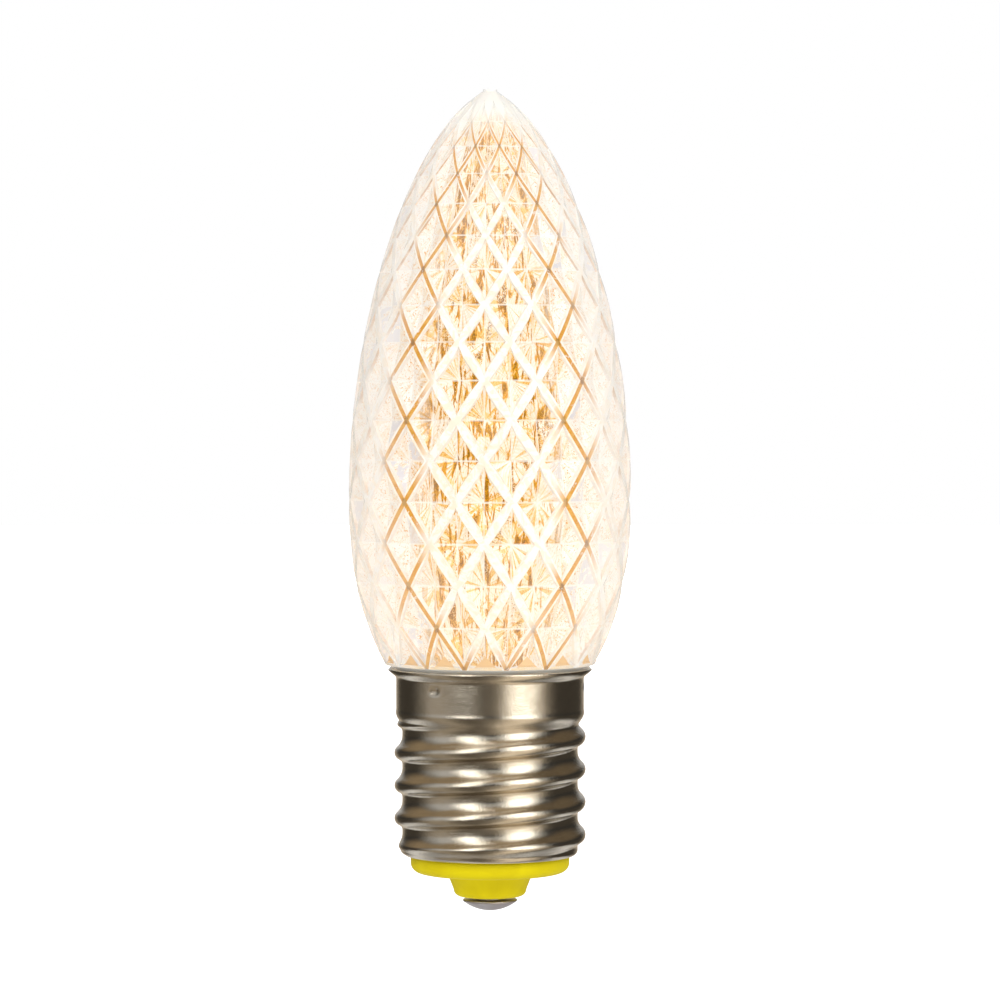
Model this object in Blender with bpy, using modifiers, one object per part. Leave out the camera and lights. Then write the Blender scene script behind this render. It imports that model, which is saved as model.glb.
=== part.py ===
"""LED replacement bulb: a faceted cone lens on a 17 mm intermediate screw cap.

Metres, +Z up. The origin is the tip of the centre contact, on the axis of the bulb.
Azimuths are degrees to the right of the front, which faces -Y.
"""
import math

import bmesh
import bpy
from mathutils import Matrix, Vector

# Clearance between two pieces that seat on each other
GAP = 0.0003

# Centre contact: a domed hollow rivet
CONTACT_HEAD_RADIUS = 0.00235
CONTACT_DOME_HEIGHT = 0.00083
CONTACT_RIM = 0.00012
SHANK_RADIUS = 0.0011
SHANK_BORE_RADIUS = 0.0006
SWAGE_RADIUS = 0.0019
SWAGE_THICKNESS = 0.00035

# Insulator: boss, disc and the flange inside the shell
BOSS_END_RADIUS = 0.00292
BOSS_ROOT_RADIUS = 0.00373
BOSS_HEIGHT = 0.00208
BOSS_ROUND = 0.0006
DISC_RADIUS = 0.00685
DISC_HEIGHT = 0.00117
DISC_ROUND = 0.0008
FLANGE_HEIGHT = 0.0015
SLOT_DEPTH = 0.0013
WELL_STEP = 0.00245

# Screw shell: rolled sheet with a round thread, nine turns to the inch
SHELL_WALL = 0.0003
THREAD_PITCH = 0.0254 / 9
THREAD_CREST_RADIUS = 0.00825
THREAD_ROOT_RADIUS = 0.007575
CREST_ROUND_ABOVE = 0.00078
CREST_ROUND_BELOW = 0.00067
CREST_SIDE_SLOPE = 2.0
ROOT_FILLET = 0.00012
THREAD_LENGTH = 0.01195
THREAD_FIRST_CREST = 0.00188
EDGE_ROUND = 0.00045
CRIMP_DEPTH = 0.00052
BAND_RADIUS = 0.0081
BAND_HEIGHT = 0.00335
FLARE_WIDTH = 0.0007
FLARE_RISE = 0.00068
STAKE_COUNT = 3
STAKE_AZIMUTH = -35.4
STAKE_DROP = 0.00075
STAKE_HEIGHT = 0.0008
STAKE_DEPTH = 0.0002

# Lens: outer form
LENS_RADIUS = 0.0122
LENS_RIM_RADIUS = 0.00903
LENS_BELLY_RISE = 0.01471
LENS_HEIGHT = 0.04921
LENS_RIM_CURVE = 2.55
LENS_TIP_CURVE = 1.89
LENS_TIP_ROUNDNESS = 0.625
LENS_WALL = 0.0015
INNER_RINGS = 7
INNER_FIRST_RING = 0.35
GATE_RADIUS = 0.00062
GATE_HEIGHT = 0.00013
GATE_DISH = 0.00004
NECK_LENGTH = 0.0042
NECK_WALL = 0.0009
NECK_GROOVE_DEPTH = 0.00025
NOTCH_WIDTH = 0.0012
NOTCH_HEIGHT = 0.0016
NOTCH_AZIMUTH = -70.0

# Lens: lattice of ribs, sizes as they are at the belly
CELLS_AROUND = 16
CELL_ROWS = 16
LATTICE_AZIMUTH = 8.95
ROW_TAPER = 0.00195
CROWN_DEPTH = 0.0008
RIB_WIDTH = 0.0008
PIT_WALL_DEPTH = 0.00022
PIT_WALL_RUN = 0.0001
PIT_DEPTH = 0.00042

# LED board and its LEDs
LED_BOARD_DROP = 0.0004
LED_BOARD_THICKNESS = 0.001
LED_COUNT_ROUND = 4
LED_SPACING = 0.0006
LED_EDGE_SPACE = 0.00045
LED_WIDTH_SHARE = 0.8
LED_HEIGHT = 0.0007
LED_WINDOW_BORDER = 0.0004
LED_WINDOW_DEPTH = 0.00012

# Driver board
DRIVER_CLEARANCE = 0.0007
DRIVER_THICKNESS = 0.0008
TAB_WIDTH = 0.0012
TAB_INSET = 0.0004
TAB_STAND = 0.0004

# Pieces on the driver board
LEAD_RADIUS = 0.00025
LEAD_STAND = 0.0005
FILM_LENGTH = 0.0072
FILM_DEPTH = 0.0036
FILM_RISE = 0.0024
FILM_LEAD_SPACING = 0.005
FILM_ROUND = 0.0003
RESISTOR_RADIUS = 0.00115
RESISTOR_LEAD_RUN = 0.00125
RESISTOR_LEAD_INSET = 0.0015
RESISTOR_RISE = 0.0009
RESISTOR_DROP = 0.00174
RESISTOR_WAIST = 0.00094
RESISTOR_CAP = 0.001
RESISTOR_CAP_ROUND = 0.0004
LEAD_END_RADIUS = 0.0002
CAN_RADIUS = 0.002
CAN_DROP = 0.001
CAN_RISE = 0.0022
CAN_OFFSET = 0.0022
CAN_LEAD_SPACING = 0.0015
CAN_ROUND = 0.0002
CAN_GROOVE_RISE = 0.0012
CAN_GROOVE_WIDTH = 0.0006
BRIDGE_LENGTH = 0.0047
BRIDGE_WIDTH = 0.0032
BRIDGE_HEIGHT = 0.0015
BRIDGE_EDGE = 0.000125
BRIDGE_LEG_REACH = 0.0008
BRIDGE_LEG_WIDTH = 0.0006
BRIDGE_LEG_THICKNESS = 0.0004
BRIDGE_LEG_STAND = 0.00015
BRIDGE_LEG_SPACING = 0.0025
BRIDGE_DROP = 0.0022
CHIP_LENGTH = 0.0032
CHIP_WIDTH = 0.0016
CHIP_HEIGHT = 0.0006
CHIP_CAP = 0.00046
CHIP_COAT_STEP = 0.00005
CHIP_INSET = 0.0025
CHIP_RISE = 0.0008
SLEEVE_WALL = 0.00025
SLEEVE_LENGTH = 0.0008

# Bends of the contact lead, as shares of its run beside the board
HOLE_BEND = 0.8
WELL_BEND = 0.7

# Facets of the round pieces
SHELL_SEGMENTS = 36
THREAD_ROWS = 8
LENS_SPLITS = 3
TURNED_SEGMENTS = 24
SMALL_SEGMENTS = 16
LEAD_SEGMENTS = 8
WIRE_STEPS = 3
SHARP_ANGLE = 32.0
MERGE = 0.00001

# Heights that follow from the stack of pieces, contact tip upwards
contact_head_top = CONTACT_DOME_HEIGHT + CONTACT_RIM
boss_bottom = contact_head_top + GAP
disc_bottom = boss_bottom + BOSS_HEIGHT
disc_top = disc_bottom + DISC_HEIGHT
shell_bottom = disc_top + GAP
flange_bottom = shell_bottom + SHELL_WALL + GAP
flange_top = flange_bottom + FLANGE_HEIGHT
slot_floor = flange_top - SLOT_DEPTH
well_floor = boss_bottom + WELL_STEP
driver_bottom = slot_floor + GAP
band_bottom = shell_bottom + THREAD_LENGTH
band_top = band_bottom + BAND_HEIGHT
stake_height = band_top - STAKE_DROP
lip_radius = BAND_RADIUS + FLARE_WIDTH
flare_slope = math.atan2(FLARE_RISE, FLARE_WIDTH)
shell_top = band_top + FLARE_RISE + SHELL_WALL * math.cos(flare_slope)
lens_rim = shell_top + GAP
lens_belly = lens_rim + LENS_BELLY_RISE
lens_tip = lens_rim + LENS_HEIGHT
neck_bottom = lens_rim - NECK_LENGTH
led_board_top = lens_rim - LED_BOARD_DROP
led_board_bottom = led_board_top - LED_BOARD_THICKNESS
driver_shoulder = led_board_bottom - GAP

film_base = flange_top + FILM_RISE
can_base = flange_top + CAN_RISE
can_top = neck_bottom - CAN_DROP
resistor_height = driver_shoulder - RESISTOR_DROP
film_top = resistor_height - RESISTOR_RADIUS - RESISTOR_RISE
bridge_top = driver_shoulder - BRIDGE_DROP
load_bottom = flange_top + CHIP_RISE
bleeder_bottom = load_bottom + CHIP_WIDTH + GAP

# Radii that follow from the fit of one piece in another
flange_radius = THREAD_ROOT_RADIUS - SHELL_WALL - GAP
crimp_groove_radius = flange_radius - CRIMP_DEPTH
shell_mouth_radius = crimp_groove_radius + GAP
neck_radius = BAND_RADIUS - SHELL_WALL - GAP
neck_bore_radius = neck_radius - NECK_WALL
led_board_radius = neck_bore_radius - GAP
led_length = (led_board_radius - LED_SPACING - LED_EDGE_SPACE) / 1.5
led_width = led_length * LED_WIDTH_SHARE
led_circle_radius = led_board_radius - LED_EDGE_SPACE - led_length / 2
driver_half = min(neck_bore_radius, flange_radius) - DRIVER_CLEARANCE
resistor_reach = driver_half - RESISTOR_LEAD_INSET
resistor_half = resistor_reach - RESISTOR_LEAD_RUN
chip_offset = driver_half - CHIP_INSET
board_face = DRIVER_THICKNESS / 2 + GAP
lead_end = DRIVER_THICKNESS / 2 + LEAD_STAND
lead_hole_radius = LEAD_RADIUS + GAP


def collection(name):
    """A new collection in the scene."""
    group = bpy.data.collections.new(name)
    bpy.context.scene.collection.children.link(group)
    return group


def material(name, colour, roughness, metallic=0.0, transmission=0.0, emission=0.0):
    """A Principled material with one colour."""
    made = bpy.data.materials.new(name)
    made.use_nodes = True
    shader = made.node_tree.nodes["Principled BSDF"]
    shader.inputs["Base Color"].default_value = (*colour, 1.0)
    shader.inputs["Roughness"].default_value = roughness
    shader.inputs["Metallic"].default_value = metallic
    shader.inputs["Transmission Weight"].default_value = transmission
    shader.inputs["Emission Color"].default_value = (*colour, 1.0)
    shader.inputs["Emission Strength"].default_value = emission
    made.diffuse_color = (*colour, 1.0)
    return made


def add_piece(name, mesh, look):
    """Put a finished mesh in the bulb's collection as one named piece."""
    piece = bpy.data.objects.new(name, mesh)
    mesh.materials.append(look)
    mesh.shade_smooth()
    mesh.set_sharp_from_angle(angle=math.radians(SHARP_ANGLE))
    parts.objects.link(piece)
    return piece


def add_cutter(name, mesh):
    """Put a mesh that cuts or joins a piece in the cutters' collection."""
    cutter = bpy.data.objects.new(name, mesh)
    cutter.hide_render = True
    cutter.display_type = "WIRE"
    cutters.objects.link(cutter)
    return cutter


def join_or_cut(piece, cutter, operation):
    """Add an exact Boolean modifier."""
    change = piece.modifiers.new(cutter.name, "BOOLEAN")
    change.operation = operation
    change.object = cutter
    change.solver = "EXACT"


def to_mesh(bm, name):
    """Close a bmesh into a mesh with its faces pointing out."""
    bmesh.ops.recalc_face_normals(bm, faces=bm.faces)
    mesh = bpy.data.meshes.new(name)
    bm.to_mesh(mesh)
    bm.free()
    return mesh


def turned_mesh(name, outline, segments):
    """Turn an outline of (radius, height) points, top to bottom, round the Z axis."""
    line = bpy.data.meshes.new(name + "_outline")
    points = [(radius, 0.0, height) for radius, height in outline]
    line.from_pydata(points, [(i, i + 1) for i in range(len(points) - 1)], [])
    lathe = bpy.data.objects.new(name + "_outline", line)
    cutters.objects.link(lathe)
    turn = lathe.modifiers.new("turn", "SCREW")
    turn.angle = 2 * math.pi
    turn.steps = segments
    turn.render_steps = segments
    turn.use_merge_vertices = True
    turn.merge_threshold = MERGE
    bpy.context.view_layer.update()
    depsgraph = bpy.context.evaluated_depsgraph_get()
    mesh = bpy.data.meshes.new_from_object(lathe.evaluated_get(depsgraph))
    mesh.name = name
    bpy.data.objects.remove(lathe)
    return mesh


def face_outwards(bm):
    """Turn the faces of an open round sheet away from the axis."""
    bmesh.ops.recalc_face_normals(bm, faces=bm.faces)
    outward = 0.0
    for face in bm.faces:
        centre = face.calc_center_median()
        outward += face.normal.x * centre.x + face.normal.y * centre.y
    if outward < 0:
        bmesh.ops.reverse_faces(bm, faces=bm.faces)


def arc(centre_radius, centre_height, size, start, end, steps):
    """Points of an arc in the plane of an outline, angles in degrees from outwards."""
    points = []
    for i in range(steps + 1):
        angle = math.radians(start + (end - start) * i / steps)
        radius = centre_radius + size * math.cos(angle)
        points.append((radius, centre_height + size * math.sin(angle)))
    return points


def block(bm, low, high, bevel=0.0, bevel_segments=1):
    """Add a box between two corners, its edges rounded by bevel."""
    low = Vector(low)
    high = Vector(high)
    place = Matrix.Translation((low + high) / 2) @ Matrix.Diagonal((*(high - low), 1.0))
    made = bmesh.ops.create_cube(bm, size=1.0, matrix=place)
    if bevel:
        edges = {edge for vert in made["verts"] for edge in vert.link_edges}
        bmesh.ops.bevel(bm, geom=list(edges), offset=bevel, segments=bevel_segments,
                        profile=0.5, affect="EDGES")


def block_mesh(name, low, high, bevel=0.0, bevel_segments=1):
    """A mesh of one box."""
    bm = bmesh.new()
    block(bm, low, high, bevel, bevel_segments)
    return to_mesh(bm, name)


def rod(bm, start, end, radius, segments=LEAD_SEGMENTS):
    """Add a round rod between two points."""
    start = Vector(start)
    end = Vector(end)
    along = end - start
    turn = Vector((0, 0, 1)).rotation_difference(along).to_matrix().to_4x4()
    place = Matrix.Translation((start + end) / 2) @ turn
    bmesh.ops.create_cone(bm, cap_ends=True, segments=segments, radius1=radius,
                          radius2=radius, depth=along.length, matrix=place)


def smooth_route(points, steps):
    """Points of a smooth curve through the given ones."""
    route = []
    ends = [points[0]] + list(points) + [points[-1]]
    for i in range(1, len(ends) - 2):
        before, start, end, after = (Vector(p) for p in ends[i - 1:i + 3])
        for j in range(steps):
            t = j / steps
            bend = (2 * start + (end - before) * t
                    + (2 * before - 5 * start + 4 * end - after) * t ** 2
                    + (3 * start - before - 3 * end + after) * t ** 3)
            route.append(bend / 2)
    route.append(Vector(points[-1]))
    return route


def wire(name, points, radius, look):
    """A round wire along a smooth route."""
    route = smooth_route(points, WIRE_STEPS)
    curve = bpy.data.curves.new(name, "CURVE")
    curve.dimensions = "3D"
    curve.bevel_depth = radius
    curve.bevel_resolution = 2
    curve.use_fill_caps = True
    spline = curve.splines.new("POLY")
    spline.points.add(len(route) - 1)
    for point, place in zip(spline.points, route):
        point.co = (*place, 1.0)
    curve.materials.append(look)
    piece = bpy.data.objects.new(name, curve)
    parts.objects.link(piece)
    return piece


def front_angle(azimuth):
    """Angle about Z of an azimuth that is counted from the front, to the right."""
    return math.radians(azimuth - 90.0)


def smooth_step(value):
    """Ease from 0 to 1."""
    value = min(max(value, 0.0), 1.0)
    return value * value * (3 - 2 * value)


# Lens

def lens_radius(height):
    """Outer radius of the lens, without its pits."""
    if height < lens_belly:
        drop = (lens_belly - height) / LENS_BELLY_RISE
        return LENS_RADIUS - (LENS_RADIUS - LENS_RIM_RADIUS) * drop ** LENS_RIM_CURVE
    rise = min((height - lens_belly) / (lens_tip - lens_belly), 1.0)
    return LENS_RADIUS * (1 - rise ** LENS_TIP_CURVE) ** LENS_TIP_ROUNDNESS


def row_height(row):
    """Height of a row of rib crossings. Rows close up towards the tip."""
    def climb(k):
        return k - ROW_TAPER * (k - 1) * k * (2 * k - 1) / 6
    crown = lens_tip - CROWN_DEPTH
    return lens_rim + (crown - lens_rim) * climb(row) / climb(CELL_ROWS)


def put_on_lens(vert):
    """Move a vertex sideways on to the outer form of the lens."""
    angle = math.atan2(vert.co.y, vert.co.x)
    radius = lens_radius(vert.co.z)
    vert.co.x = radius * math.cos(angle)
    vert.co.y = radius * math.sin(angle)


def sweep_ring(bm, edges, stations):
    """Extrude a round ring of edges through (radius, height) stations."""
    for radius, height in stations:
        made = bmesh.ops.extrude_edge_only(bm, edges=edges)["geom"]
        verts = {item for item in made if isinstance(item, bmesh.types.BMVert)}
        edges = [item for item in made if isinstance(item, bmesh.types.BMEdge)
                 and set(item.verts) <= verts]
        for vert in verts:
            angle = math.atan2(vert.co.y, vert.co.x)
            vert.co = (radius * math.cos(angle), radius * math.sin(angle), height)
    return edges


def close_ring(bm, edges, height):
    """Close a ring with a fan of faces round a point on the axis."""
    cap = bmesh.ops.contextual_create(bm, geom=edges)["faces"]
    centre = bmesh.ops.poke(bm, faces=cap)["verts"][0]
    centre.co = (0.0, 0.0, height)


def ring_at(bm, height):
    """The open edges that lie at one height."""
    return [edge for edge in bm.edges if edge.is_boundary
            and all(abs(vert.co.z - height) < MERGE for vert in edge.verts)]


def lattice(bm):
    """Diamond cells between crossing ribs, then a pit sunk in each of them."""
    angle = front_angle(LATTICE_AZIMUTH)
    line = []
    for row in range(0, CELL_ROWS + 1, 2):
        radius = lens_radius(row_height(row))
        place = (radius * math.cos(angle), radius * math.sin(angle), row_height(row))
        line.append(bm.verts.new(place))
    edges = [bm.edges.new(pair) for pair in zip(line, line[1:])]
    bmesh.ops.spin(bm, geom=line + edges, cent=(0, 0, 0), axis=(0, 0, 1),
                   angle=2 * math.pi, steps=CELLS_AROUND, use_merge=True)
    face_outwards(bm)
    square_edges = [edge for edge in bm.edges if not edge.is_boundary]

    # Crossings of the odd rows, half a cell round from the even ones
    odd_heights = [row_height(row) for row in range(1, CELL_ROWS, 2)]
    for vert in bmesh.ops.poke(bm, faces=bm.faces)["verts"]:
        vert.co.z = min(odd_heights, key=lambda height: abs(height - vert.co.z))
        put_on_lens(vert)
    bmesh.ops.dissolve_edges(bm, edges=square_edges, use_verts=False)

    # Both open ends get enough segments to be round
    for edges in (ring_at(bm, lens_rim), ring_at(bm, row_height(CELL_ROWS))):
        bmesh.ops.subdivide_edges(bm, edges=edges, cuts=LENS_SPLITS - 1)
    for vert in bm.verts:
        put_on_lens(vert)

    crown = row_height(CELL_ROWS)
    cells = [face for face in bm.faces
             if sum(abs(vert.co.z - crown) < MERGE for vert in face.verts) < 2]
    for cell in cells:
        scale = lens_radius(cell.calc_center_median().z) / LENS_RADIUS
        bmesh.ops.inset_individual(bm, faces=[cell], thickness=RIB_WIDTH / 2 * scale)
        for vert in cell.verts:
            put_on_lens(vert)
    for cell in cells:
        scale = lens_radius(cell.calc_center_median().z) / LENS_RADIUS
        bmesh.ops.inset_individual(bm, faces=[cell], thickness=PIT_WALL_RUN * scale,
                                   depth=-PIT_WALL_DEPTH * scale)
        bmesh.ops.poke(bm, faces=[cell], offset=-PIT_DEPTH * scale)


def make_lens():
    """Clear moulded lens: ribbed outside, smooth inside, with a plain neck below."""
    bm = bmesh.new()
    lattice(bm)

    # Crown and gate mark
    ring = ring_at(bm, row_height(CELL_ROWS))
    crown_stations = [(GATE_RADIUS, lens_tip), (GATE_RADIUS, lens_tip + GATE_HEIGHT)]
    ring = sweep_ring(bm, ring, crown_stations)
    close_ring(bm, ring, lens_tip + GATE_HEIGHT - GATE_DISH)

    # Rim, seat on the flared lip, neck and its stake groove
    seat = SHELL_WALL + GAP
    seat_height = band_top + FLARE_RISE + seat * math.cos(flare_slope)
    seat_radius = lip_radius - seat * math.sin(flare_slope)
    seat_radius -= (seat_height - lens_rim) / math.tan(flare_slope)
    seat_drop = (seat_radius - neck_radius) * math.tan(flare_slope)
    groove_half = STAKE_HEIGHT / 2 + GAP / 2
    groove_radius = neck_radius - NECK_GROOVE_DEPTH
    stations = [
        (seat_radius, lens_rim),
        (neck_radius, lens_rim - seat_drop),
        (neck_radius, stake_height + groove_half),
        (groove_radius, stake_height + groove_half / 2),
        (groove_radius, stake_height - groove_half / 2),
        (neck_radius, stake_height - groove_half),
        (neck_radius, neck_bottom),
        (neck_bore_radius, neck_bottom),
        (neck_bore_radius, lens_rim),
    ]
    # Smooth inside, one wall in from the outer form
    inner_tip = lens_tip - LENS_WALL
    inner_low = lens_rim + LENS_WALL / 2
    for ring_number in range(INNER_RINGS):
        share = (ring_number + INNER_FIRST_RING) / INNER_RINGS
        height = inner_low + (inner_tip - inner_low) * math.sin(math.pi / 2 * share)
        stations.append((inner_radius(height), height))
    ring = sweep_ring(bm, ring_at(bm, lens_rim), stations)
    close_ring(bm, ring, inner_tip)
    lens = add_piece("lens", to_mesh(bm, "lens"), clear_plastic)

    # Notch that lets the shell lead out of the neck
    notch = block_mesh("neck_notch", (neck_bore_radius - NECK_WALL, -NOTCH_WIDTH / 2,
                                      neck_bottom - NOTCH_HEIGHT),
                       (neck_radius + NECK_WALL, NOTCH_WIDTH / 2,
                        neck_bottom + NOTCH_HEIGHT))
    cutter = add_cutter("neck_notch", notch)
    cutter.rotation_euler.z = front_angle(NOTCH_AZIMUTH)
    join_or_cut(lens, cutter, "DIFFERENCE")


def inner_radius(height):
    """Inner radius of the lens: the outer form, in by one wall along its slope."""
    probe = LENS_WALL / 8
    slope = (lens_radius(height + probe) - lens_radius(height - probe)) / (2 * probe)
    inner = lens_radius(height) - LENS_WALL * math.hypot(1.0, slope)
    inner_tip = lens_tip - LENS_WALL
    return max(inner, math.sqrt(max(inner_tip - height, MERGE) * LENS_WALL))


# Screw shell

def crest_rise(above):
    """Rise of the rolled crest over the root, by the height above the crest's middle."""
    size = CREST_ROUND_ABOVE if above > 0 else CREST_ROUND_BELOW
    inside = min(abs(above), size)
    rise = THREAD_CREST_RADIUS - THREAD_ROOT_RADIUS - size
    rise += math.sqrt(size ** 2 - inside ** 2) - CREST_SIDE_SLOPE * (abs(above) - inside)
    return (rise + math.hypot(rise, ROOT_FILLET)) / 2


def shell_radius(angle, height):
    """Outer radius of the shell's threaded part."""
    turn = angle / (2 * math.pi)
    phase = (height - shell_bottom - THREAD_FIRST_CREST) / THREAD_PITCH - turn
    bulge = crest_rise((phase - round(phase)) * THREAD_PITCH)
    bulge *= smooth_step((height - shell_bottom - GAP) / (THREAD_PITCH / 2))
    bulge *= smooth_step((band_bottom + GAP - height) / (THREAD_PITCH / 2))
    shoulder = smooth_step(1 - (band_bottom - height) / (THREAD_PITCH / 4))
    rise = max(bulge, shoulder * (BAND_RADIUS - THREAD_ROOT_RADIUS))
    return THREAD_ROOT_RADIUS + rise


def threaded_tube(bm, low, high, start_angle):
    """A tube whose rows of faces climb with the thread, cut square at both ends."""
    row = THREAD_PITCH / THREAD_ROWS
    crest = shell_bottom + THREAD_FIRST_CREST + THREAD_PITCH * start_angle / (2 * math.pi)
    first = math.floor((low - THREAD_PITCH - crest) / row) - 1
    last = math.ceil((high - crest) / row) + 1
    x = THREAD_ROOT_RADIUS * math.cos(start_angle)
    y = THREAD_ROOT_RADIUS * math.sin(start_angle)
    line = [bm.verts.new((x, y, crest + i * row)) for i in range(first, last + 1)]
    edges = [bm.edges.new(pair) for pair in zip(line, line[1:])]
    bmesh.ops.spin(bm, geom=line + edges, cent=(0, 0, 0), axis=(0, 0, 1),
                   dvec=(0, 0, THREAD_PITCH / SHELL_SEGMENTS), angle=2 * math.pi,
                   steps=SHELL_SEGMENTS)
    bmesh.ops.remove_doubles(bm, verts=bm.verts, dist=MERGE)
    for height, side in ((low, -1), (high, 1)):
        bmesh.ops.bisect_plane(bm, geom=bm.verts[:] + bm.edges[:] + bm.faces[:],
                               plane_co=(0, 0, height), plane_no=(0, 0, side),
                               clear_outer=True)
    step = 2 * math.pi / SHELL_SEGMENTS
    strays = []
    for vert in bm.verts:
        around = (math.atan2(vert.co.y, vert.co.x) - start_angle) / step
        if abs(around - round(around)) > 0.01:
            strays.append(vert)
    bmesh.ops.dissolve_verts(bm, verts=strays)
    for vert in bm.verts:
        angle = math.atan2(vert.co.y, vert.co.x)
        radius = shell_radius(angle, vert.co.z)
        vert.co.x = radius * math.cos(angle)
        vert.co.y = radius * math.sin(angle)


def make_screw_shell():
    """Thin rolled shell: thread, plain band, flared lip and a turned-in bottom edge."""
    step = 2 * math.pi / SHELL_SEGMENTS
    start_angle = front_angle(STAKE_AZIMUTH) - step / 2
    bm = bmesh.new()
    edge_top = shell_bottom + EDGE_ROUND
    threaded_tube(bm, edge_top, band_bottom, start_angle)

    stake_low = stake_height - STAKE_HEIGHT / 2
    stake_high = stake_height + STAKE_HEIGHT / 2
    upper = [(BAND_RADIUS, stake_low), (BAND_RADIUS, stake_high), (BAND_RADIUS, band_top),
             (lip_radius, band_top + FLARE_RISE)]
    sweep_ring(bm, ring_at(bm, band_bottom), upper)
    turn_radius = THREAD_ROOT_RADIUS - EDGE_ROUND
    lower = arc(turn_radius, edge_top, EDGE_ROUND, -30, -90, 2)
    lower.append((shell_mouth_radius, shell_bottom))
    sweep_ring(bm, ring_at(bm, edge_top), lower)
    face_outwards(bm)

    # Stake marks, punched in to the groove of the lens neck
    for i in range(STAKE_COUNT):
        angle = front_angle(STAKE_AZIMUTH + 360 * i / STAKE_COUNT)
        target = Vector((BAND_RADIUS * math.cos(angle), BAND_RADIUS * math.sin(angle),
                         stake_height))
        face = min(bm.faces, key=lambda f: (f.calc_center_median() - target).length)
        bmesh.ops.inset_individual(bm, faces=[face], thickness=STAKE_HEIGHT / 8)
        bmesh.ops.poke(bm, faces=[face], offset=-STAKE_DEPTH)

    mesh = bpy.data.meshes.new("screw_shell")
    bm.to_mesh(mesh)
    bm.free()
    shell = add_piece("screw_shell", mesh, nickel_plate)
    wall = shell.modifiers.new("wall", "SOLIDIFY")
    wall.thickness = SHELL_WALL
    wall.offset = -1.0
    wall.use_even_offset = True


# Insulator and centre contact

def make_insulator():
    """Moulded insulator: boss, disc, crimp groove, flange, and the slot for the board."""
    taper = (BOSS_ROOT_RADIUS - BOSS_END_RADIUS) / BOSS_HEIGHT
    hole_radius = SHANK_RADIUS + GAP
    well_radius = SWAGE_RADIUS + GAP
    outline = [(well_radius, flange_top), (flange_radius, flange_top)]
    outline += [(flange_radius, flange_bottom), (crimp_groove_radius, flange_bottom)]
    outline += [(crimp_groove_radius, disc_top), (DISC_RADIUS, disc_top)]
    outline += arc(DISC_RADIUS - DISC_ROUND, disc_bottom + DISC_ROUND, DISC_ROUND, 0, -90, 3)
    outline += [(BOSS_ROOT_RADIUS, disc_bottom)]
    outline += arc(BOSS_END_RADIUS + taper * BOSS_ROUND - BOSS_ROUND,
                   boss_bottom + BOSS_ROUND, BOSS_ROUND, 0, -90, 2)
    outline += [(hole_radius, boss_bottom), (hole_radius, well_floor)]
    outline += [(well_radius, well_floor), (well_radius, flange_top)]
    mesh = turned_mesh("insulator", outline, TURNED_SEGMENTS)
    insulator = add_piece("insulator", mesh, yellow_plastic)
    half_length = driver_half + GAP
    half_width = board_face
    slot = block_mesh("board_slot", (-half_length, -half_width, slot_floor),
                      (half_length, half_width, flange_top + SLOT_DEPTH))
    join_or_cut(insulator, add_cutter("board_slot", slot), "DIFFERENCE")


def make_contact():
    """Domed rivet: solid head, hollow shank, swaged over a step in the insulator."""
    swage_low = well_floor + GAP
    swage_top = swage_low + SWAGE_THICKNESS
    dome = (CONTACT_HEAD_RADIUS ** 2 + CONTACT_DOME_HEIGHT ** 2) / (2 * CONTACT_DOME_HEIGHT)
    edge = math.degrees(math.asin(CONTACT_HEAD_RADIUS / dome))
    outline = [(0.0, contact_head_top), (SHANK_BORE_RADIUS, contact_head_top)]
    outline += [(SHANK_BORE_RADIUS, swage_top), (SWAGE_RADIUS, swage_top)]
    outline += [(SWAGE_RADIUS, swage_low), (SHANK_RADIUS, swage_low)]
    outline += [(SHANK_RADIUS, contact_head_top), (CONTACT_HEAD_RADIUS, contact_head_top)]
    outline += arc(0.0, dome, dome, edge - 90, -90, 4)
    outline[-1] = (0.0, 0.0)
    mesh = turned_mesh("centre_contact", outline, TURNED_SEGMENTS)
    add_piece("centre_contact", mesh, contact_metal)


# LED board

def make_led_board():
    """Round metal-core board with a slot for each tab of the driver board."""
    outline = [(0.0, led_board_top), (led_board_radius, led_board_top)]
    outline += [(led_board_radius, led_board_bottom), (0.0, led_board_bottom)]
    board = add_piece("led_board", turned_mesh("led_board", outline, TURNED_SEGMENTS),
                      white_board)
    bm = bmesh.new()
    for side in (-1, 1):
        centre = side * tab_centre()
        half = TAB_WIDTH / 2 + GAP
        block(bm, (centre - half, -board_face, led_board_bottom - GAP),
              (centre + half, board_face, led_board_top + GAP))
    join_or_cut(board, add_cutter("tab_slots", to_mesh(bm, "tab_slots")), "DIFFERENCE")


def tab_centre():
    """Distance of a tab's middle from the axis."""
    return driver_half - TAB_INSET - TAB_WIDTH / 2


def make_leds():
    """Surface-mount LEDs: one in the middle and a ring of them, turned to the axis."""
    base = led_board_top + GAP
    bm = bmesh.new()
    block(bm, (-led_length / 2, -led_width / 2, base),
          (led_length / 2, led_width / 2, base + LED_HEIGHT))
    bm.faces.ensure_lookup_table()
    top = max(bm.faces, key=lambda face: face.calc_center_median().z)
    bmesh.ops.inset_individual(bm, faces=[top], thickness=LED_WINDOW_BORDER)
    bmesh.ops.inset_individual(bm, faces=[top], thickness=LED_WINDOW_DEPTH,
                               depth=-LED_WINDOW_DEPTH)
    body = to_mesh(bm, "led")
    for i in range(LED_COUNT_ROUND + 1):
        led = add_piece("led_%d" % (i + 1), body.copy(), led_plastic)
        if i:
            angle = math.radians(45 + 360 * (i - 1) / LED_COUNT_ROUND)
            led.location = (led_circle_radius * math.cos(angle),
                            led_circle_radius * math.sin(angle), 0.0)
            led.rotation_euler.z = angle


# Driver board and what is soldered to it

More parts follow.
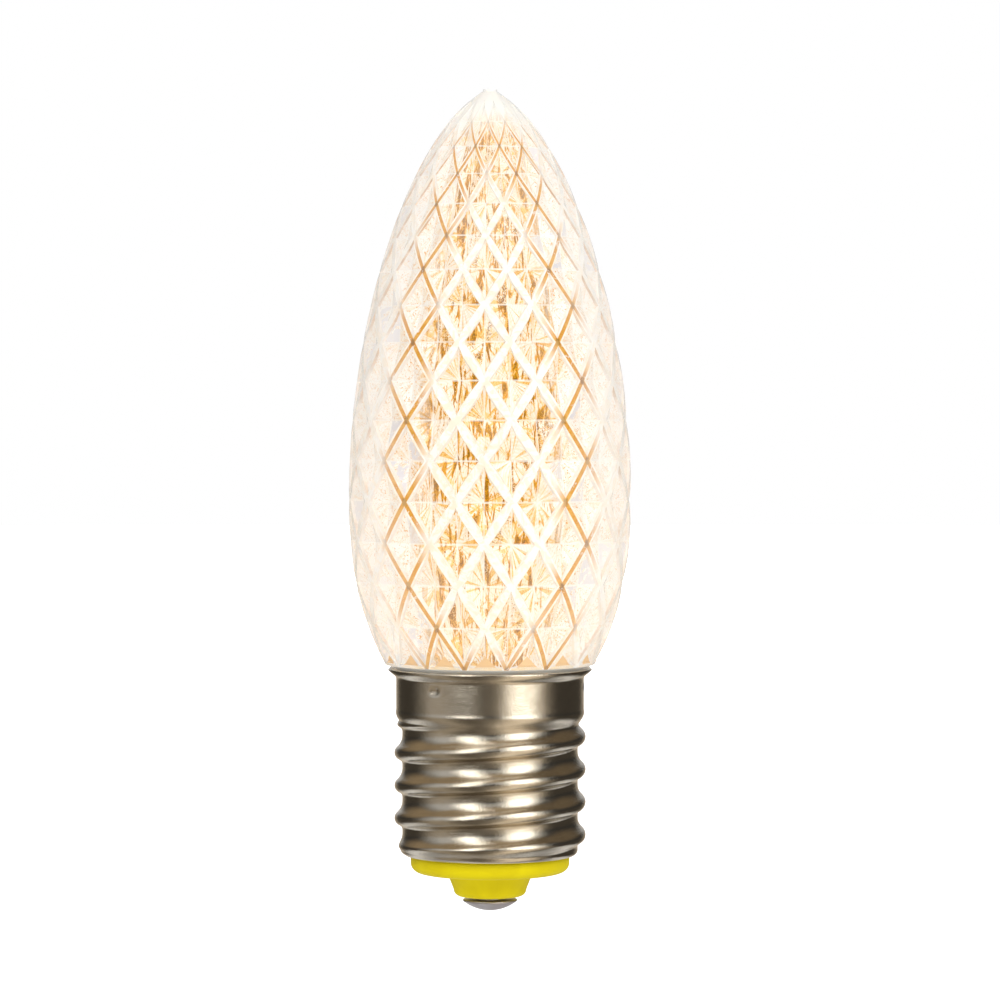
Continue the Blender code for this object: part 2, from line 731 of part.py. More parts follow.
def lead_places():
    """(x, z) of every hole for a lead in the driver board."""
    film = (film_base + film_top) / 2
    leg = can_base - CAN_RADIUS / 2
    places = [(side * FILM_LEAD_SPACING / 2, film) for side in (-1, 1)]
    places += [(side * resistor_reach, resistor_height) for side in (-1, 1)]
    places += [(side * CAN_LEAD_SPACING / 2 - CAN_OFFSET, leg) for side in (-1, 1)]
    places += [shell_lead_hole(), contact_lead_hole()]
    return places


def shell_lead_hole():
    """(x, z) where the shell lead is soldered in."""
    inset = driver_half - 3 * lead_hole_radius / 2
    return (-inset, film_top - (film_top - film_base) / 4)


def contact_lead_hole():
    """(x, z) where the contact lead is soldered in."""
    return (0.0, sleeve_top() + lead_hole_radius)


def sleeve_top():
    """Height of the upper end of the contact lead's sleeve."""
    return flange_top + GAP + SLEEVE_LENGTH


def make_driver_board():
    """Upright board with two tabs at its top and a hole for each lead."""
    thick = DRIVER_THICKNESS / 2
    mesh = block_mesh("driver_board", (-driver_half, -thick, driver_bottom),
                      (driver_half, thick, driver_shoulder))
    board = add_piece("driver_board", mesh, green_board)
    bm = bmesh.new()
    for side in (-1, 1):
        centre = side * tab_centre()
        block(bm, (centre - TAB_WIDTH / 2, -thick, driver_shoulder - TAB_WIDTH),
              (centre + TAB_WIDTH / 2, thick, led_board_top + TAB_STAND))
    join_or_cut(board, add_cutter("board_tabs", to_mesh(bm, "board_tabs")), "UNION")
    bm = bmesh.new()
    for x, z in lead_places():
        rod(bm, (x, -DRIVER_THICKNESS, z), (x, DRIVER_THICKNESS, z), lead_hole_radius)
    join_or_cut(board, add_cutter("lead_holes", to_mesh(bm, "lead_holes")), "DIFFERENCE")


def make_film_capacitor():
    """Box film capacitor with two straight leads through the board."""
    mesh = block_mesh("film_capacitor", (-FILM_LENGTH / 2, board_face, film_base),
                      (FILM_LENGTH / 2, board_face + FILM_DEPTH, film_top), FILM_ROUND, 2)
    body = add_piece("film_capacitor", mesh, film_case)
    bm = bmesh.new()
    for x, z in lead_places()[:2]:
        rod(bm, (x, -lead_end, z), (x, board_face + FILM_DEPTH / 2, z),
            LEAD_RADIUS)
    join_or_cut(body, add_cutter("film_leads", to_mesh(bm, "film_leads")), "UNION")


def make_surge_resistor():
    """Axial resistor lying across the board, its leads bent through it."""
    height = resistor_height
    depth = board_face + RESISTOR_RADIUS
    half = resistor_half
    cap = half - RESISTOR_CAP
    shoulder = half - RESISTOR_CAP_ROUND
    middle = cap - RESISTOR_CAP_ROUND
    outline = [(0.0, half), (RESISTOR_WAIST, half), (RESISTOR_RADIUS, shoulder)]
    outline += [(RESISTOR_RADIUS, cap), (RESISTOR_WAIST, middle)]
    outline += [(RESISTOR_WAIST, -middle), (RESISTOR_RADIUS, -cap)]
    outline += [(RESISTOR_RADIUS, -shoulder), (RESISTOR_WAIST, -half), (0.0, -half)]
    mesh = turned_mesh("surge_resistor", outline, SMALL_SEGMENTS)
    mesh.transform(Matrix.Rotation(math.pi / 2, 4, "Y"))
    mesh.transform(Matrix.Translation((0.0, depth, height)))
    body = add_piece("surge_resistor", mesh, resistor_coat)
    bm = bmesh.new()
    for side in (-1, 1):
        reach = side * resistor_reach
        block(bm, (min(0.0, reach) - LEAD_RADIUS * (side < 0), depth - LEAD_RADIUS,
                   height - LEAD_RADIUS),
              (max(0.0, reach) + LEAD_RADIUS * (side > 0), depth + LEAD_RADIUS,
               height + LEAD_RADIUS))
    across = add_cutter("resistor_lead_run", to_mesh(bm, "resistor_lead_run"))
    join_or_cut(body, across, "UNION")
    bm = bmesh.new()
    for side in (-1, 1):
        reach = side * resistor_reach
        block(bm, (reach - LEAD_END_RADIUS, -lead_end, height - LEAD_END_RADIUS),
              (reach + LEAD_END_RADIUS, depth, height + LEAD_END_RADIUS))
    down = add_cutter("resistor_lead_ends", to_mesh(bm, "resistor_lead_ends"))
    join_or_cut(body, down, "UNION")


def make_smoothing_capacitor():
    """Electrolytic can standing along the board, its leads bent through it."""
    depth = lead_end + GAP + CAN_RADIUS
    groove = can_base + CAN_GROOVE_RISE
    end_radius = CAN_RADIUS - CAN_ROUND
    outline = [(0.0, can_top), (end_radius, can_top), (CAN_RADIUS, can_top - CAN_ROUND)]
    outline += [(CAN_RADIUS, groove + CAN_GROOVE_WIDTH / 2), (end_radius, groove)]
    outline += [(CAN_RADIUS, groove - CAN_GROOVE_WIDTH / 2)]
    outline += [(CAN_RADIUS, can_base + CAN_ROUND), (end_radius, can_base), (0.0, can_base)]
    mesh = turned_mesh("smoothing_capacitor", outline, SMALL_SEGMENTS)
    mesh.transform(Matrix.Translation((-CAN_OFFSET, -depth, 0.0)))
    body = add_piece("smoothing_capacitor", mesh, can_sleeve)
    bm = bmesh.new()
    for x, z in lead_places()[4:6]:
        block(bm, (x - LEAD_RADIUS, -depth - LEAD_RADIUS, z - LEAD_RADIUS),
              (x + LEAD_RADIUS, LEAD_RADIUS - depth, can_base + CAN_RADIUS / 2))
    down = add_cutter("can_lead_drops", to_mesh(bm, "can_lead_drops"))
    join_or_cut(body, down, "UNION")
    bm = bmesh.new()
    for x, z in lead_places()[4:6]:
        block(bm, (x - LEAD_END_RADIUS, -depth, z - LEAD_END_RADIUS),
              (x + LEAD_END_RADIUS, lead_end, z + LEAD_END_RADIUS))
    across = add_cutter("can_lead_ends", to_mesh(bm, "can_lead_ends"))
    join_or_cut(body, across, "UNION")


def make_bridge_rectifier():
    """Four-leg rectifier package with gull-wing legs, on the front of the board."""
    low = bridge_top - BRIDGE_WIDTH
    leg_front = board_face + BRIDGE_LEG_STAND + BRIDGE_LEG_THICKNESS
    mesh = block_mesh("bridge_rectifier",
                      (chip_offset - BRIDGE_LENGTH / 2, -board_face - BRIDGE_HEIGHT, low),
                      (chip_offset + BRIDGE_LENGTH / 2, -board_face, bridge_top),
                      BRIDGE_EDGE)
    body = add_piece("bridge_rectifier", mesh, black_plastic)
    bm = bmesh.new()
    for side in (-1, 1):
        for z in (low, bridge_top):
            x = chip_offset + side * BRIDGE_LEG_SPACING / 2
            outward = -1 if z == low else 1
            ends = sorted((z - outward * BRIDGE_LEG_REACH, z + outward * BRIDGE_LEG_REACH))
            block(bm, (x - BRIDGE_LEG_WIDTH / 2, -leg_front, ends[0]),
                  (x + BRIDGE_LEG_WIDTH / 2, -board_face - BRIDGE_LEG_STAND, ends[1]))
    join_or_cut(body, add_cutter("bridge_legs", to_mesh(bm, "bridge_legs")), "UNION")


def make_chip_resistors():
    """Two chip resistors with raised end caps, on the front of the board."""
    for name, low in (("bleeder_resistor", bleeder_bottom), ("load_resistor", load_bottom)):
        bm = bmesh.new()
        block(bm, (chip_offset - CHIP_LENGTH / 2, -board_face - CHIP_HEIGHT, low),
              (chip_offset + CHIP_LENGTH / 2, -board_face, low + CHIP_WIDTH))
        for side in (-1, 1):
            cut = chip_offset + side * (CHIP_LENGTH / 2 - CHIP_CAP)
            bmesh.ops.bisect_plane(bm, geom=bm.verts[:] + bm.edges[:] + bm.faces[:],
                                   plane_co=(cut, 0, 0), plane_no=(1, 0, 0))
        front = [face for face in bm.faces if face.normal.y < -0.9
                 and abs(face.calc_center_median().x - chip_offset) < CHIP_CAP]
        bmesh.ops.inset_individual(bm, faces=front, thickness=CHIP_COAT_STEP,
                                   depth=-CHIP_COAT_STEP)
        add_piece(name, to_mesh(bm, name), chip_ceramic)


def make_leads():
    """Two wires from the driver board, one to the shell and one into the rivet."""
    angle = front_angle(NOTCH_AZIMUTH)
    outer = neck_radius - LEAD_RADIUS
    inner = neck_bore_radius - 2 * LEAD_RADIUS
    exit_height = neck_bottom + NOTCH_HEIGHT / 2
    hole_x, hole_z = shell_lead_hole()
    side = -board_face - LEAD_RADIUS
    route = [
        (hole_x, lead_end, hole_z),
        (hole_x, 0.0, hole_z),
        (hole_x, side, hole_z + 3 * LEAD_RADIUS),
        (hole_x, side - LEAD_RADIUS, neck_bottom - NOTCH_HEIGHT / 2),
        (inner * math.cos(angle), inner * math.sin(angle), exit_height - LEAD_RADIUS),
        (outer * math.cos(angle), outer * math.sin(angle), exit_height),
    ]
    wire("shell_lead", route, LEAD_RADIUS, tinned_wire)

    hole_x, hole_z = contact_lead_hole()
    sleeve_radius = LEAD_RADIUS + GAP + SLEEVE_WALL
    side = -board_face - sleeve_radius
    route = [
        (hole_x, lead_end, hole_z),
        (hole_x, 0.0, hole_z),
        (hole_x, side * HOLE_BEND, hole_z),
        (hole_x, side, sleeve_top() - LEAD_RADIUS),
        (hole_x, side, flange_top - LEAD_RADIUS),
        (0.0, side * WELL_BEND, (flange_top + slot_floor) / 2 - LEAD_RADIUS),
        (0.0, 0.0, slot_floor - 3 * LEAD_RADIUS),
        (0.0, 0.0, well_floor),
        (0.0, 0.0, contact_head_top + 2 * GAP),
    ]
    wire("contact_lead", route, LEAD_RADIUS, tinned_wire)
    outline = [(LEAD_RADIUS + GAP, sleeve_top()), (sleeve_radius, sleeve_top())]
    outline += [(sleeve_radius, flange_top + GAP), (LEAD_RADIUS + GAP, flange_top + GAP)]
    outline += [(LEAD_RADIUS + GAP, sleeve_top())]
    mesh = turned_mesh("lead_sleeve", outline, LEAD_SEGMENTS * 2)
    mesh.transform(Matrix.Translation((hole_x, side, 0.0)))
    add_piece("lead_sleeve", mesh, sleeve_plastic)


for old in list(bpy.data.objects):
    bpy.data.objects.remove(old)
parts = collection("led_replacement_bulb")
cutters = collection("cutters")

clear_plastic = material("clear_plastic", (1.0, 0.93, 0.8), 0.05, transmission=1.0)
nickel_plate = material("nickel_plate", (0.66, 0.62, 0.55), 0.22, metallic=1.0)
yellow_plastic = material("yellow_plastic", (0.72, 0.65, 0.03), 0.45)
contact_metal = material("contact_metal", (0.5, 0.46, 0.44), 0.4, metallic=1.0)
white_board = material("white_board", (0.85, 0.83, 0.78), 0.4)
led_plastic = material("led_plastic", (1.0, 0.72, 0.3), 0.4, emission=2.0)
green_board = material("green_board", (0.05, 0.25, 0.1), 0.45)
film_case = material("film_case", (0.55, 0.1, 0.05), 0.4)
resistor_coat = material("resistor_coat", (0.2, 0.35, 0.5), 0.5)
can_sleeve = material("can_sleeve", (0.04, 0.05, 0.12), 0.35)
black_plastic = material("black_plastic", (0.02, 0.02, 0.02), 0.5)
chip_ceramic = material("chip_ceramic", (0.05, 0.05, 0.05), 0.4)
tinned_wire = material("tinned_wire", (0.7, 0.69, 0.67), 0.3, metallic=1.0)
sleeve_plastic = material("sleeve_plastic", (0.85, 0.85, 0.82), 0.5)

make_lens()
make_screw_shell()
make_insulator()
make_contact()
make_led_board()
make_leds()
make_driver_board()
make_film_capacitor()
make_surge_resistor()
make_smoothing_capacitor()
make_bridge_rectifier()
make_chip_resistors()
make_leads()
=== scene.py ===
"""Looks of the LED replacement bulb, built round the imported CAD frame.

Metres, +Z up. The bulb's axis is Z, the contact's tip is the origin and the front faces -Y.
The sections follow the bulb from its contact up to its lens; the studio comes last.
"""
import math
import random

import bmesh
import bpy
from mathutils import Matrix, Vector


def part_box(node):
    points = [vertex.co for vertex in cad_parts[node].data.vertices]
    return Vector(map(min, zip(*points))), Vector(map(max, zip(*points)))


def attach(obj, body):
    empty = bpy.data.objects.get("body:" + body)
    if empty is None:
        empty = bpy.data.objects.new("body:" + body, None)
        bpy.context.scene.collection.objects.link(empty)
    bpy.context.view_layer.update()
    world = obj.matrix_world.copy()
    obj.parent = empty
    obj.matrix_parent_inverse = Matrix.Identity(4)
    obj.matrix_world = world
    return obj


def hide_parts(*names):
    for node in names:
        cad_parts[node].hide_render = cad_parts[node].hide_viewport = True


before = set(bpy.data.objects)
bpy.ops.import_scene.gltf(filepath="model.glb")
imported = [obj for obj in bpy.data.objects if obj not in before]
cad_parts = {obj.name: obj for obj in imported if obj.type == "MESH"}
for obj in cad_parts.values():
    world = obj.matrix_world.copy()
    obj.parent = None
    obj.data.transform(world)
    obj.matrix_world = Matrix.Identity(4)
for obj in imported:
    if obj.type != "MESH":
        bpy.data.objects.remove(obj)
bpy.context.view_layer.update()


# Centre contact
# A rivet of nickel-plated brass: a domed head that meets the holder's spring, and a hollow
# shank that is swaged over a step inside the insulator, with the contact lead in its bore.

contact_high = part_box("centre_contact")[1]
CONTACT_DOME = 0.00083
CONTACT_RIM = 0.00012
CONTACT_SHANK = 0.0011
CONTACT_BORE = 0.0006
CONTACT_SWAGE = 0.0019
SWAGE_THICKNESS = 0.00035
CONTACT_SIDES = 96
CONTACT_EDGE = 0.00005
CONTACT_GRAIN = 0.000006
contact_radius = contact_high.x
contact_head_top = CONTACT_DOME + CONTACT_RIM
MERGE = 0.000002


def arc(centre_radius, centre_height, size, start, end, steps):
    """Points of an arc in an outline, its angles in degrees from outwards."""
    points = []
    for i in range(steps + 1):
        angle = math.radians(start + (end - start) * i / steps)
        points.append((centre_radius + size * math.cos(angle),
                       centre_height + size * math.sin(angle)))
    return points


def turn(bm, outline, sides):
    """Turn an outline of (radius, height) points round the bulb's axis."""
    verts = [bm.verts.new((radius, 0.0, height)) for radius, height in outline]
    edges = [bm.edges.new(pair) for pair in zip(verts, verts[1:])]
    bmesh.ops.spin(bm, geom=verts + edges, cent=(0, 0, 0), axis=(0, 0, 1),
                   angle=2 * math.pi, steps=sides, use_merge=True)
    bmesh.ops.remove_doubles(bm, verts=bm.verts, dist=MERGE)
    bmesh.ops.recalc_face_normals(bm, faces=bm.faces)


def soften(bm, width, segments=2, sharper_than=35.0):
    """Round every edge that is sharper than an angle in degrees."""
    limit = math.radians(sharper_than)
    edges = [edge for edge in bm.edges
             if edge.is_manifold and edge.calc_face_angle() > limit]
    bmesh.ops.bevel(bm, geom=edges, offset=width, segments=segments, profile=0.5,
                    affect="EDGES", clamp_overlap=True, material=-1)


def finish_piece(name, bm, look, replaced, sharp=40.0):
    """Make a bmesh a finished piece that rides on the bulb and stands for a CAD node."""
    mesh = bpy.data.meshes.new(name)
    bm.to_mesh(mesh)
    bm.free()
    mesh.materials.append(look)
    mesh.shade_smooth()
    mesh.set_sharp_from_angle(angle=math.radians(sharp))
    piece = bpy.data.objects.new(name, mesh)
    bpy.context.scene.collection.objects.link(piece)
    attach(piece, "root")
    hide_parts(replaced)
    return piece


def add_node(tree, kind, inputs=None, **settings):
    """Add a node, set its options, and feed its inputs from values or other nodes."""
    node = tree.nodes.new(kind)
    for key, value in settings.items():
        setattr(node, key, value)
    for key, value in (inputs or {}).items():
        if isinstance(value, bpy.types.NodeSocket):
            tree.links.new(value, node.inputs[key])
        else:
            node.inputs[key].default_value = value
    return node


def new_group(name, inputs, outputs):
    """A shader node group with named sockets: its tree, input node and output node."""
    tree = bpy.data.node_groups.new(name, "ShaderNodeTree")
    for key, (kind, value) in inputs.items():
        socket = tree.interface.new_socket(key, in_out="INPUT", socket_type=kind)
        if value is not None:
            socket.default_value = value
    for key, kind in outputs.items():
        tree.interface.new_socket(key, in_out="OUTPUT", socket_type=kind)
    return tree, tree.nodes.new("NodeGroupInput"), tree.nodes.new("NodeGroupOutput")


def plated_metal_group():
    """Bright plating: a fine grain, soft smudges, hairline scratches and slight dents."""
    tree, given, made = new_group(
        "plated_metal",
        {"Coordinates": ("NodeSocketVector", None),
         "Bright": ("NodeSocketColor", (0.7, 0.66, 0.58, 1.0)),
         "Dull": ("NodeSocketColor", (0.5, 0.46, 0.4, 1.0)),
         "Polish": ("NodeSocketFloat", 0.15),
         "Smudge": ("NodeSocketFloat", 0.1),
         "Grain Size": ("NodeSocketFloat", 9000.0),
         "Dents": ("NodeSocketFloat", 0.0)},
        {"Color": "NodeSocketColor", "Roughness": "NodeSocketFloat",
         "Height": "NodeSocketFloat"})
    at = given.outputs["Coordinates"]
    smudges = add_node(tree, "ShaderNodeTexNoise", {
        "Vector": at, "Scale": 420.0, "Detail": 4.0, "Roughness": 0.6})
    grain = add_node(tree, "ShaderNodeTexNoise", {
        "Vector": at, "Scale": given.outputs["Grain Size"], "Detail": 2.0})
    drawn = add_node(tree, "ShaderNodeMapping", {"Vector": at, "Scale": (1.0, 1.0, 9.0)})
    hairlines = add_node(tree, "ShaderNodeTexNoise", {
        "Vector": drawn.outputs["Vector"], "Scale": 1500.0, "Detail": 6.0,
        "Roughness": 0.7})
    spread = add_node(tree, "ShaderNodeMapRange", {
        "Value": smudges.outputs["Fac"], "From Min": 0.38, "From Max": 0.66})
    colour = add_node(tree, "ShaderNodeMix", {
        "Factor": spread.outputs["Result"], "A": given.outputs["Bright"],
        "B": given.outputs["Dull"]}, data_type="RGBA")
    rough = add_node(tree, "ShaderNodeMath", {
        0: spread.outputs["Result"], 1: given.outputs["Smudge"],
        2: given.outputs["Polish"]}, operation="MULTIPLY_ADD")
    height = add_node(tree, "ShaderNodeMath", {
        0: hairlines.outputs["Fac"], 1: 0.5, 2: grain.outputs["Fac"]},
        operation="MULTIPLY_ADD")
    dents = add_node(tree, "ShaderNodeTexNoise", {
        "Vector": at, "Scale": 620.0, "Detail": 1.0})
    height = add_node(tree, "ShaderNodeMath", {
        0: dents.outputs["Fac"], 1: given.outputs["Dents"], 2: height.outputs["Value"]},
        operation="MULTIPLY_ADD")
    tree.links.new(colour.outputs["Result"], made.inputs["Color"])
    tree.links.new(rough.outputs["Value"], made.inputs["Roughness"])
    tree.links.new(height.outputs["Value"], made.inputs["Height"])
    return tree


plated_metal = plated_metal_group()


def new_look(name, **values):
    """A material whose own shader sockets are set: (material, tree, shader)."""
    look = bpy.data.materials.new(name)
    look.use_nodes = True
    tree = look.node_tree
    shader = tree.nodes["Principled BSDF"]
    for key, value in values.items():
        shader.inputs[key.replace("_", " ")].default_value = value
    return look, tree, shader


def place_group(tree, group, inputs):
    """Place a node group that reads Object coordinates."""
    at = add_node(tree, "ShaderNodeTexCoord")
    node = add_node(tree, "ShaderNodeGroup", node_tree=group)
    tree.links.new(at.outputs["Object"], node.inputs["Coordinates"])
    for key, value in inputs.items():
        node.inputs[key].default_value = value
    return node


def feed_shader(tree, shader, node, bump_distance):
    """Feed a group's colour, roughness and height to the shader."""
    bump = add_node(tree, "ShaderNodeBump", {
        "Height": node.outputs["Height"], "Distance": bump_distance})
    tree.links.new(node.outputs["Color"], shader.inputs["Base Color"])
    tree.links.new(node.outputs["Roughness"], shader.inputs["Roughness"])
    tree.links.new(bump.outputs["Normal"], shader.inputs["Normal"])


contact_look, tree, shader = new_look("dull_nickel_rivet", Metallic=1.0)
node = place_group(tree, plated_metal, {
    "Bright": (0.72, 0.68, 0.68, 1.0), "Dull": (0.60, 0.55, 0.56, 1.0),
    "Polish": 0.42, "Smudge": 0.12, "Grain Size": 6000.0})
feed_shader(tree, shader, node, CONTACT_GRAIN)

bm = bmesh.new()
dome = (contact_radius ** 2 + CONTACT_DOME ** 2) / (2 * CONTACT_DOME)
dome_edge = math.degrees(math.asin(contact_radius / dome))
outline = [(0.0, contact_head_top), (CONTACT_BORE, contact_head_top)]
outline += [(CONTACT_BORE, contact_high.z), (CONTACT_SWAGE, contact_high.z)]
outline += [(CONTACT_SWAGE, contact_high.z - SWAGE_THICKNESS)]
outline += [(CONTACT_SHANK, contact_high.z - SWAGE_THICKNESS)]
outline += [(CONTACT_SHANK, contact_head_top), (contact_radius, contact_head_top)]
outline += arc(0.0, dome, dome, dome_edge - 90, -90, steps=14)[:-1] + [(0.0, 0.0)]
turn(bm, outline, CONTACT_SIDES)
soften(bm, CONTACT_EDGE)
finish_piece("rivet_contact", bm, contact_look, "centre_contact")


# Insulator
# A yellow moulding that closes the cap: a boss round the rivet, a disc under the shell's
# turned-in edge, and a flange inside the shell with a slot for the driver board.

insulator_low, insulator_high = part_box("insulator")
board_low, board_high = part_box("driver_board")
shell_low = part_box("screw_shell")[0]
FIT = 0.0003
BOSS_END = 0.00292
BOSS_ROOT = 0.00373
BOSS_HEIGHT = 0.00208
BOSS_ROUND = 0.0006
DISC_RADIUS = 0.00685
DISC_ROUND = 0.0008
SHELL_WALL = 0.0003
FLANGE_RADIUS = 0.006975
CRIMP_DEPTH = 0.00052
WELL_STEP = 0.00245
SEAT_GAP = 0.00003
INSULATOR_SIDES = 128
INSULATOR_EDGE = 0.0001
INSULATOR_SHEEN = 0.12
boss_bottom = insulator_low.z
disc_bottom = boss_bottom + BOSS_HEIGHT
disc_top = shell_low.z - SEAT_GAP
flange_bottom = shell_low.z + SHELL_WALL + FIT
flange_top = insulator_high.z


def moulded_plastic_group():
    """Moulded plastic: faint flow marks in the colour and a fine spark-eroded skin."""
    tree, given, made = new_group(
        "moulded_plastic",
        {"Coordinates": ("NodeSocketVector", None),
         "Light": ("NodeSocketColor", (0.8, 0.8, 0.8, 1.0)),
         "Shade": ("NodeSocketColor", (0.6, 0.6, 0.6, 1.0)),
         "Gloss": ("NodeSocketFloat", 0.4),
         "Flow Size": ("NodeSocketFloat", 300.0),
         "Skin Size": ("NodeSocketFloat", 9000.0)},
        {"Color": "NodeSocketColor", "Roughness": "NodeSocketFloat",
         "Height": "NodeSocketFloat"})
    at = given.outputs["Coordinates"]
    flow = add_node(tree, "ShaderNodeTexNoise", {
        "Vector": at, "Scale": given.outputs["Flow Size"], "Detail": 5.0,
        "Distortion": 0.8})
    skin = add_node(tree, "ShaderNodeTexNoise", {
        "Vector": at, "Scale": given.outputs["Skin Size"], "Detail": 3.0})
    spread = add_node(tree, "ShaderNodeMapRange", {
        "Value": flow.outputs["Fac"], "From Min": 0.35, "From Max": 0.65})
    colour = add_node(tree, "ShaderNodeMix", {
        "Factor": spread.outputs["Result"], "A": given.outputs["Light"],
        "B": given.outputs["Shade"]}, data_type="RGBA")
    rough = add_node(tree, "ShaderNodeMath", {
        0: skin.outputs["Fac"], 1: 0.16, 2: given.outputs["Gloss"]},
        operation="MULTIPLY_ADD")
    tree.links.new(colour.outputs["Result"], made.inputs["Color"])
    tree.links.new(rough.outputs["Value"], made.inputs["Roughness"])
    tree.links.new(skin.outputs["Fac"], made.inputs["Height"])
    return tree


moulded_plastic = moulded_plastic_group()


def plastic_look(name, light, shade, gloss, bump=0.00001):
    """A moulded or lacquered plastic."""
    look, tree, shader = new_look(name)
    node = place_group(tree, moulded_plastic, {
        "Light": (*light, 1.0), "Shade": (*shade, 1.0), "Gloss": gloss})
    feed_shader(tree, shader, node, bump)
    return look


insulator_look = plastic_look("yellow_moulding", (0.80, 0.66, 0.003), (0.73, 0.59, 0.002),
                              0.42, bump=0.000008)
insulator_look.node_tree.nodes["Principled BSDF"].inputs[
    "Specular IOR Level"].default_value = INSULATOR_SHEEN

bm = bmesh.new()
taper = (BOSS_ROOT - BOSS_END) / BOSS_HEIGHT
outline = [(CONTACT_SWAGE + FIT, flange_top), (FLANGE_RADIUS, flange_top)]
outline += [(FLANGE_RADIUS, flange_bottom), (FLANGE_RADIUS - CRIMP_DEPTH, flange_bottom)]
outline += [(FLANGE_RADIUS - CRIMP_DEPTH, disc_top), (DISC_RADIUS, disc_top)]
outline += arc(DISC_RADIUS - DISC_ROUND, disc_bottom + DISC_ROUND, DISC_ROUND, 0, -90,
               steps=10)
outline += [(BOSS_ROOT, disc_bottom)]
outline += arc(BOSS_END + taper * BOSS_ROUND - BOSS_ROUND, boss_bottom + BOSS_ROUND,
               BOSS_ROUND, 0, -90, steps=8)
outline += [(CONTACT_SHANK + FIT, boss_bottom)]
outline += [(CONTACT_SHANK + FIT, boss_bottom + WELL_STEP)]
outline += [(CONTACT_SWAGE + FIT, boss_bottom + WELL_STEP)]
outline += [(CONTACT_SWAGE + FIT, flange_top)]
turn(bm, outline, INSULATOR_SIDES)
soften(bm, INSULATOR_EDGE)
insulator = finish_piece("insulator_moulding", bm, insulator_look,
                         "insulator")


def cut_away(piece, bm):
    """Cut a shape out of a finished piece and keep the result as its mesh."""
    mesh = bpy.data.meshes.new("cut")
    bmesh.ops.recalc_face_normals(bm, faces=bm.faces)
    bm.to_mesh(mesh)
    bm.free()
    cutter = bpy.data.objects.new("cut", mesh)
    bpy.context.scene.collection.objects.link(cutter)
    change = piece.modifiers.new("cut", "BOOLEAN")
    change.operation = "DIFFERENCE"
    change.object = cutter
    change.solver = "EXACT"
    bpy.context.view_layer.update()
    depsgraph = bpy.context.evaluated_depsgraph_get()
    cut_mesh = bpy.data.meshes.new_from_object(piece.evaluated_get(depsgraph))
    piece.modifiers.clear()
    piece.data = cut_mesh
    bpy.data.objects.remove(cutter)


# The slot that the foot of the driver board stands in
bm = bmesh.new()
slot_size = Vector((board_high.x + FIT, board_high.y + FIT, flange_top - board_low.z))
middle = Vector((0.0, 0.0, flange_top))
place = Matrix.Translation(middle) @ Matrix.Diagonal((*(slot_size * 2), 1.0))
bmesh.ops.create_cube(bm, size=1.0, matrix=place)
cut_away(insulator, bm)


# Screw shell
# Thin brass sheet, nickel plated: a rolled round thread, a plain band above it that is
# staked into the lens neck at three places, and a lip flared out under the lens.

THREAD_PITCH = 0.0254 / 9  # nine turns to the inch
THREAD_CREST = 0.00825
THREAD_ROOT = 0.007575
CREST_ROUND = 0.0007
FLANK_ABOVE = 0.0015
FLANK_BELOW = 0.001
THREAD_FIRST_CREST = 0.00178
THREAD_LENGTH = 0.01195
EDGE_ROUND = 0.00045
BAND_RADIUS = 0.0081
BAND_HEIGHT = 0.00335
BAND_EDGE = 0.00025
SHOULDER = 0.0009
BAND_BEAD = 0.00003
BEAD_HALF = 0.00028
FLARE_WIDTH = 0.0007
FLARE_RISE = 0.00068
FLARE_ROUND = 0.0004
STAKE_AZIMUTH = -35.4
STAKE_COUNT = 3
STAKE_DROP = 0.00075
STAKE_RADIUS = 0.0003
STAKE_DEPTH = 0.00015
STAKE_SPREAD = 1.6
SHELL_GRAIN = 0.000015
SHELL_SIDES = 180
SHELL_ROW = 0.00011
shell_bottom = shell_low.z
band_bottom = shell_bottom + THREAD_LENGTH
band_top = band_bottom + BAND_HEIGHT
shell_mouth = FLANGE_RADIUS - CRIMP_DEPTH + FIT
flare_slope = math.atan2(FLARE_RISE, FLARE_WIDTH)


def front_angle(azimuth):
    """Angle about Z of an azimuth in degrees, counted from the front to the right."""
    return math.radians(azimuth - 90.0)


def smooth_step(value):
    """Ease from 0 to 1."""
    value = min(max(value, 0.0), 1.0)
    return value * value * (3 - 2 * value)


def flank(distance, width):
    """Rise over the thread's root beside a crest: a round crest runs into a round root."""
    depth = THREAD_CREST - THREAD_ROOT
    if distance >= width:
        return 0.0
    steepest = 2 * math.atan(depth / width)
    root_round = width / math.sin(steepest) - CREST_ROUND
    if distance < CREST_ROUND * math.sin(steepest):
        return depth - CREST_ROUND + math.sqrt(CREST_ROUND ** 2 - distance ** 2)
    return root_round - math.sqrt(root_round ** 2 - (width - distance) ** 2)


def shell_rise(angle, height):
    """Rise of the rolled thread and of the band's shoulder over the root."""
    phase = (height - shell_bottom - THREAD_FIRST_CREST) / THREAD_PITCH
    phase -= angle / (2 * math.pi)
    above = (phase - round(phase)) * THREAD_PITCH
    bulge = flank(abs(above), FLANK_ABOVE if above > 0 else FLANK_BELOW)
    bulge *= smooth_step((height - shell_bottom) / (THREAD_PITCH / 2))
    bulge *= smooth_step((band_bottom + FIT - height) / (THREAD_PITCH / 2))
    shoulder = smooth_step((height - band_bottom + SHOULDER) / (SHOULDER + BAND_EDGE))
    shoulder *= BAND_RADIUS - THREAD_ROOT
    past_bead = abs(height - band_bottom - BAND_EDGE - BEAD_HALF / 2) / BEAD_HALF
    return max(bulge, shoulder) + BAND_BEAD * smooth_step(1 - past_bead)


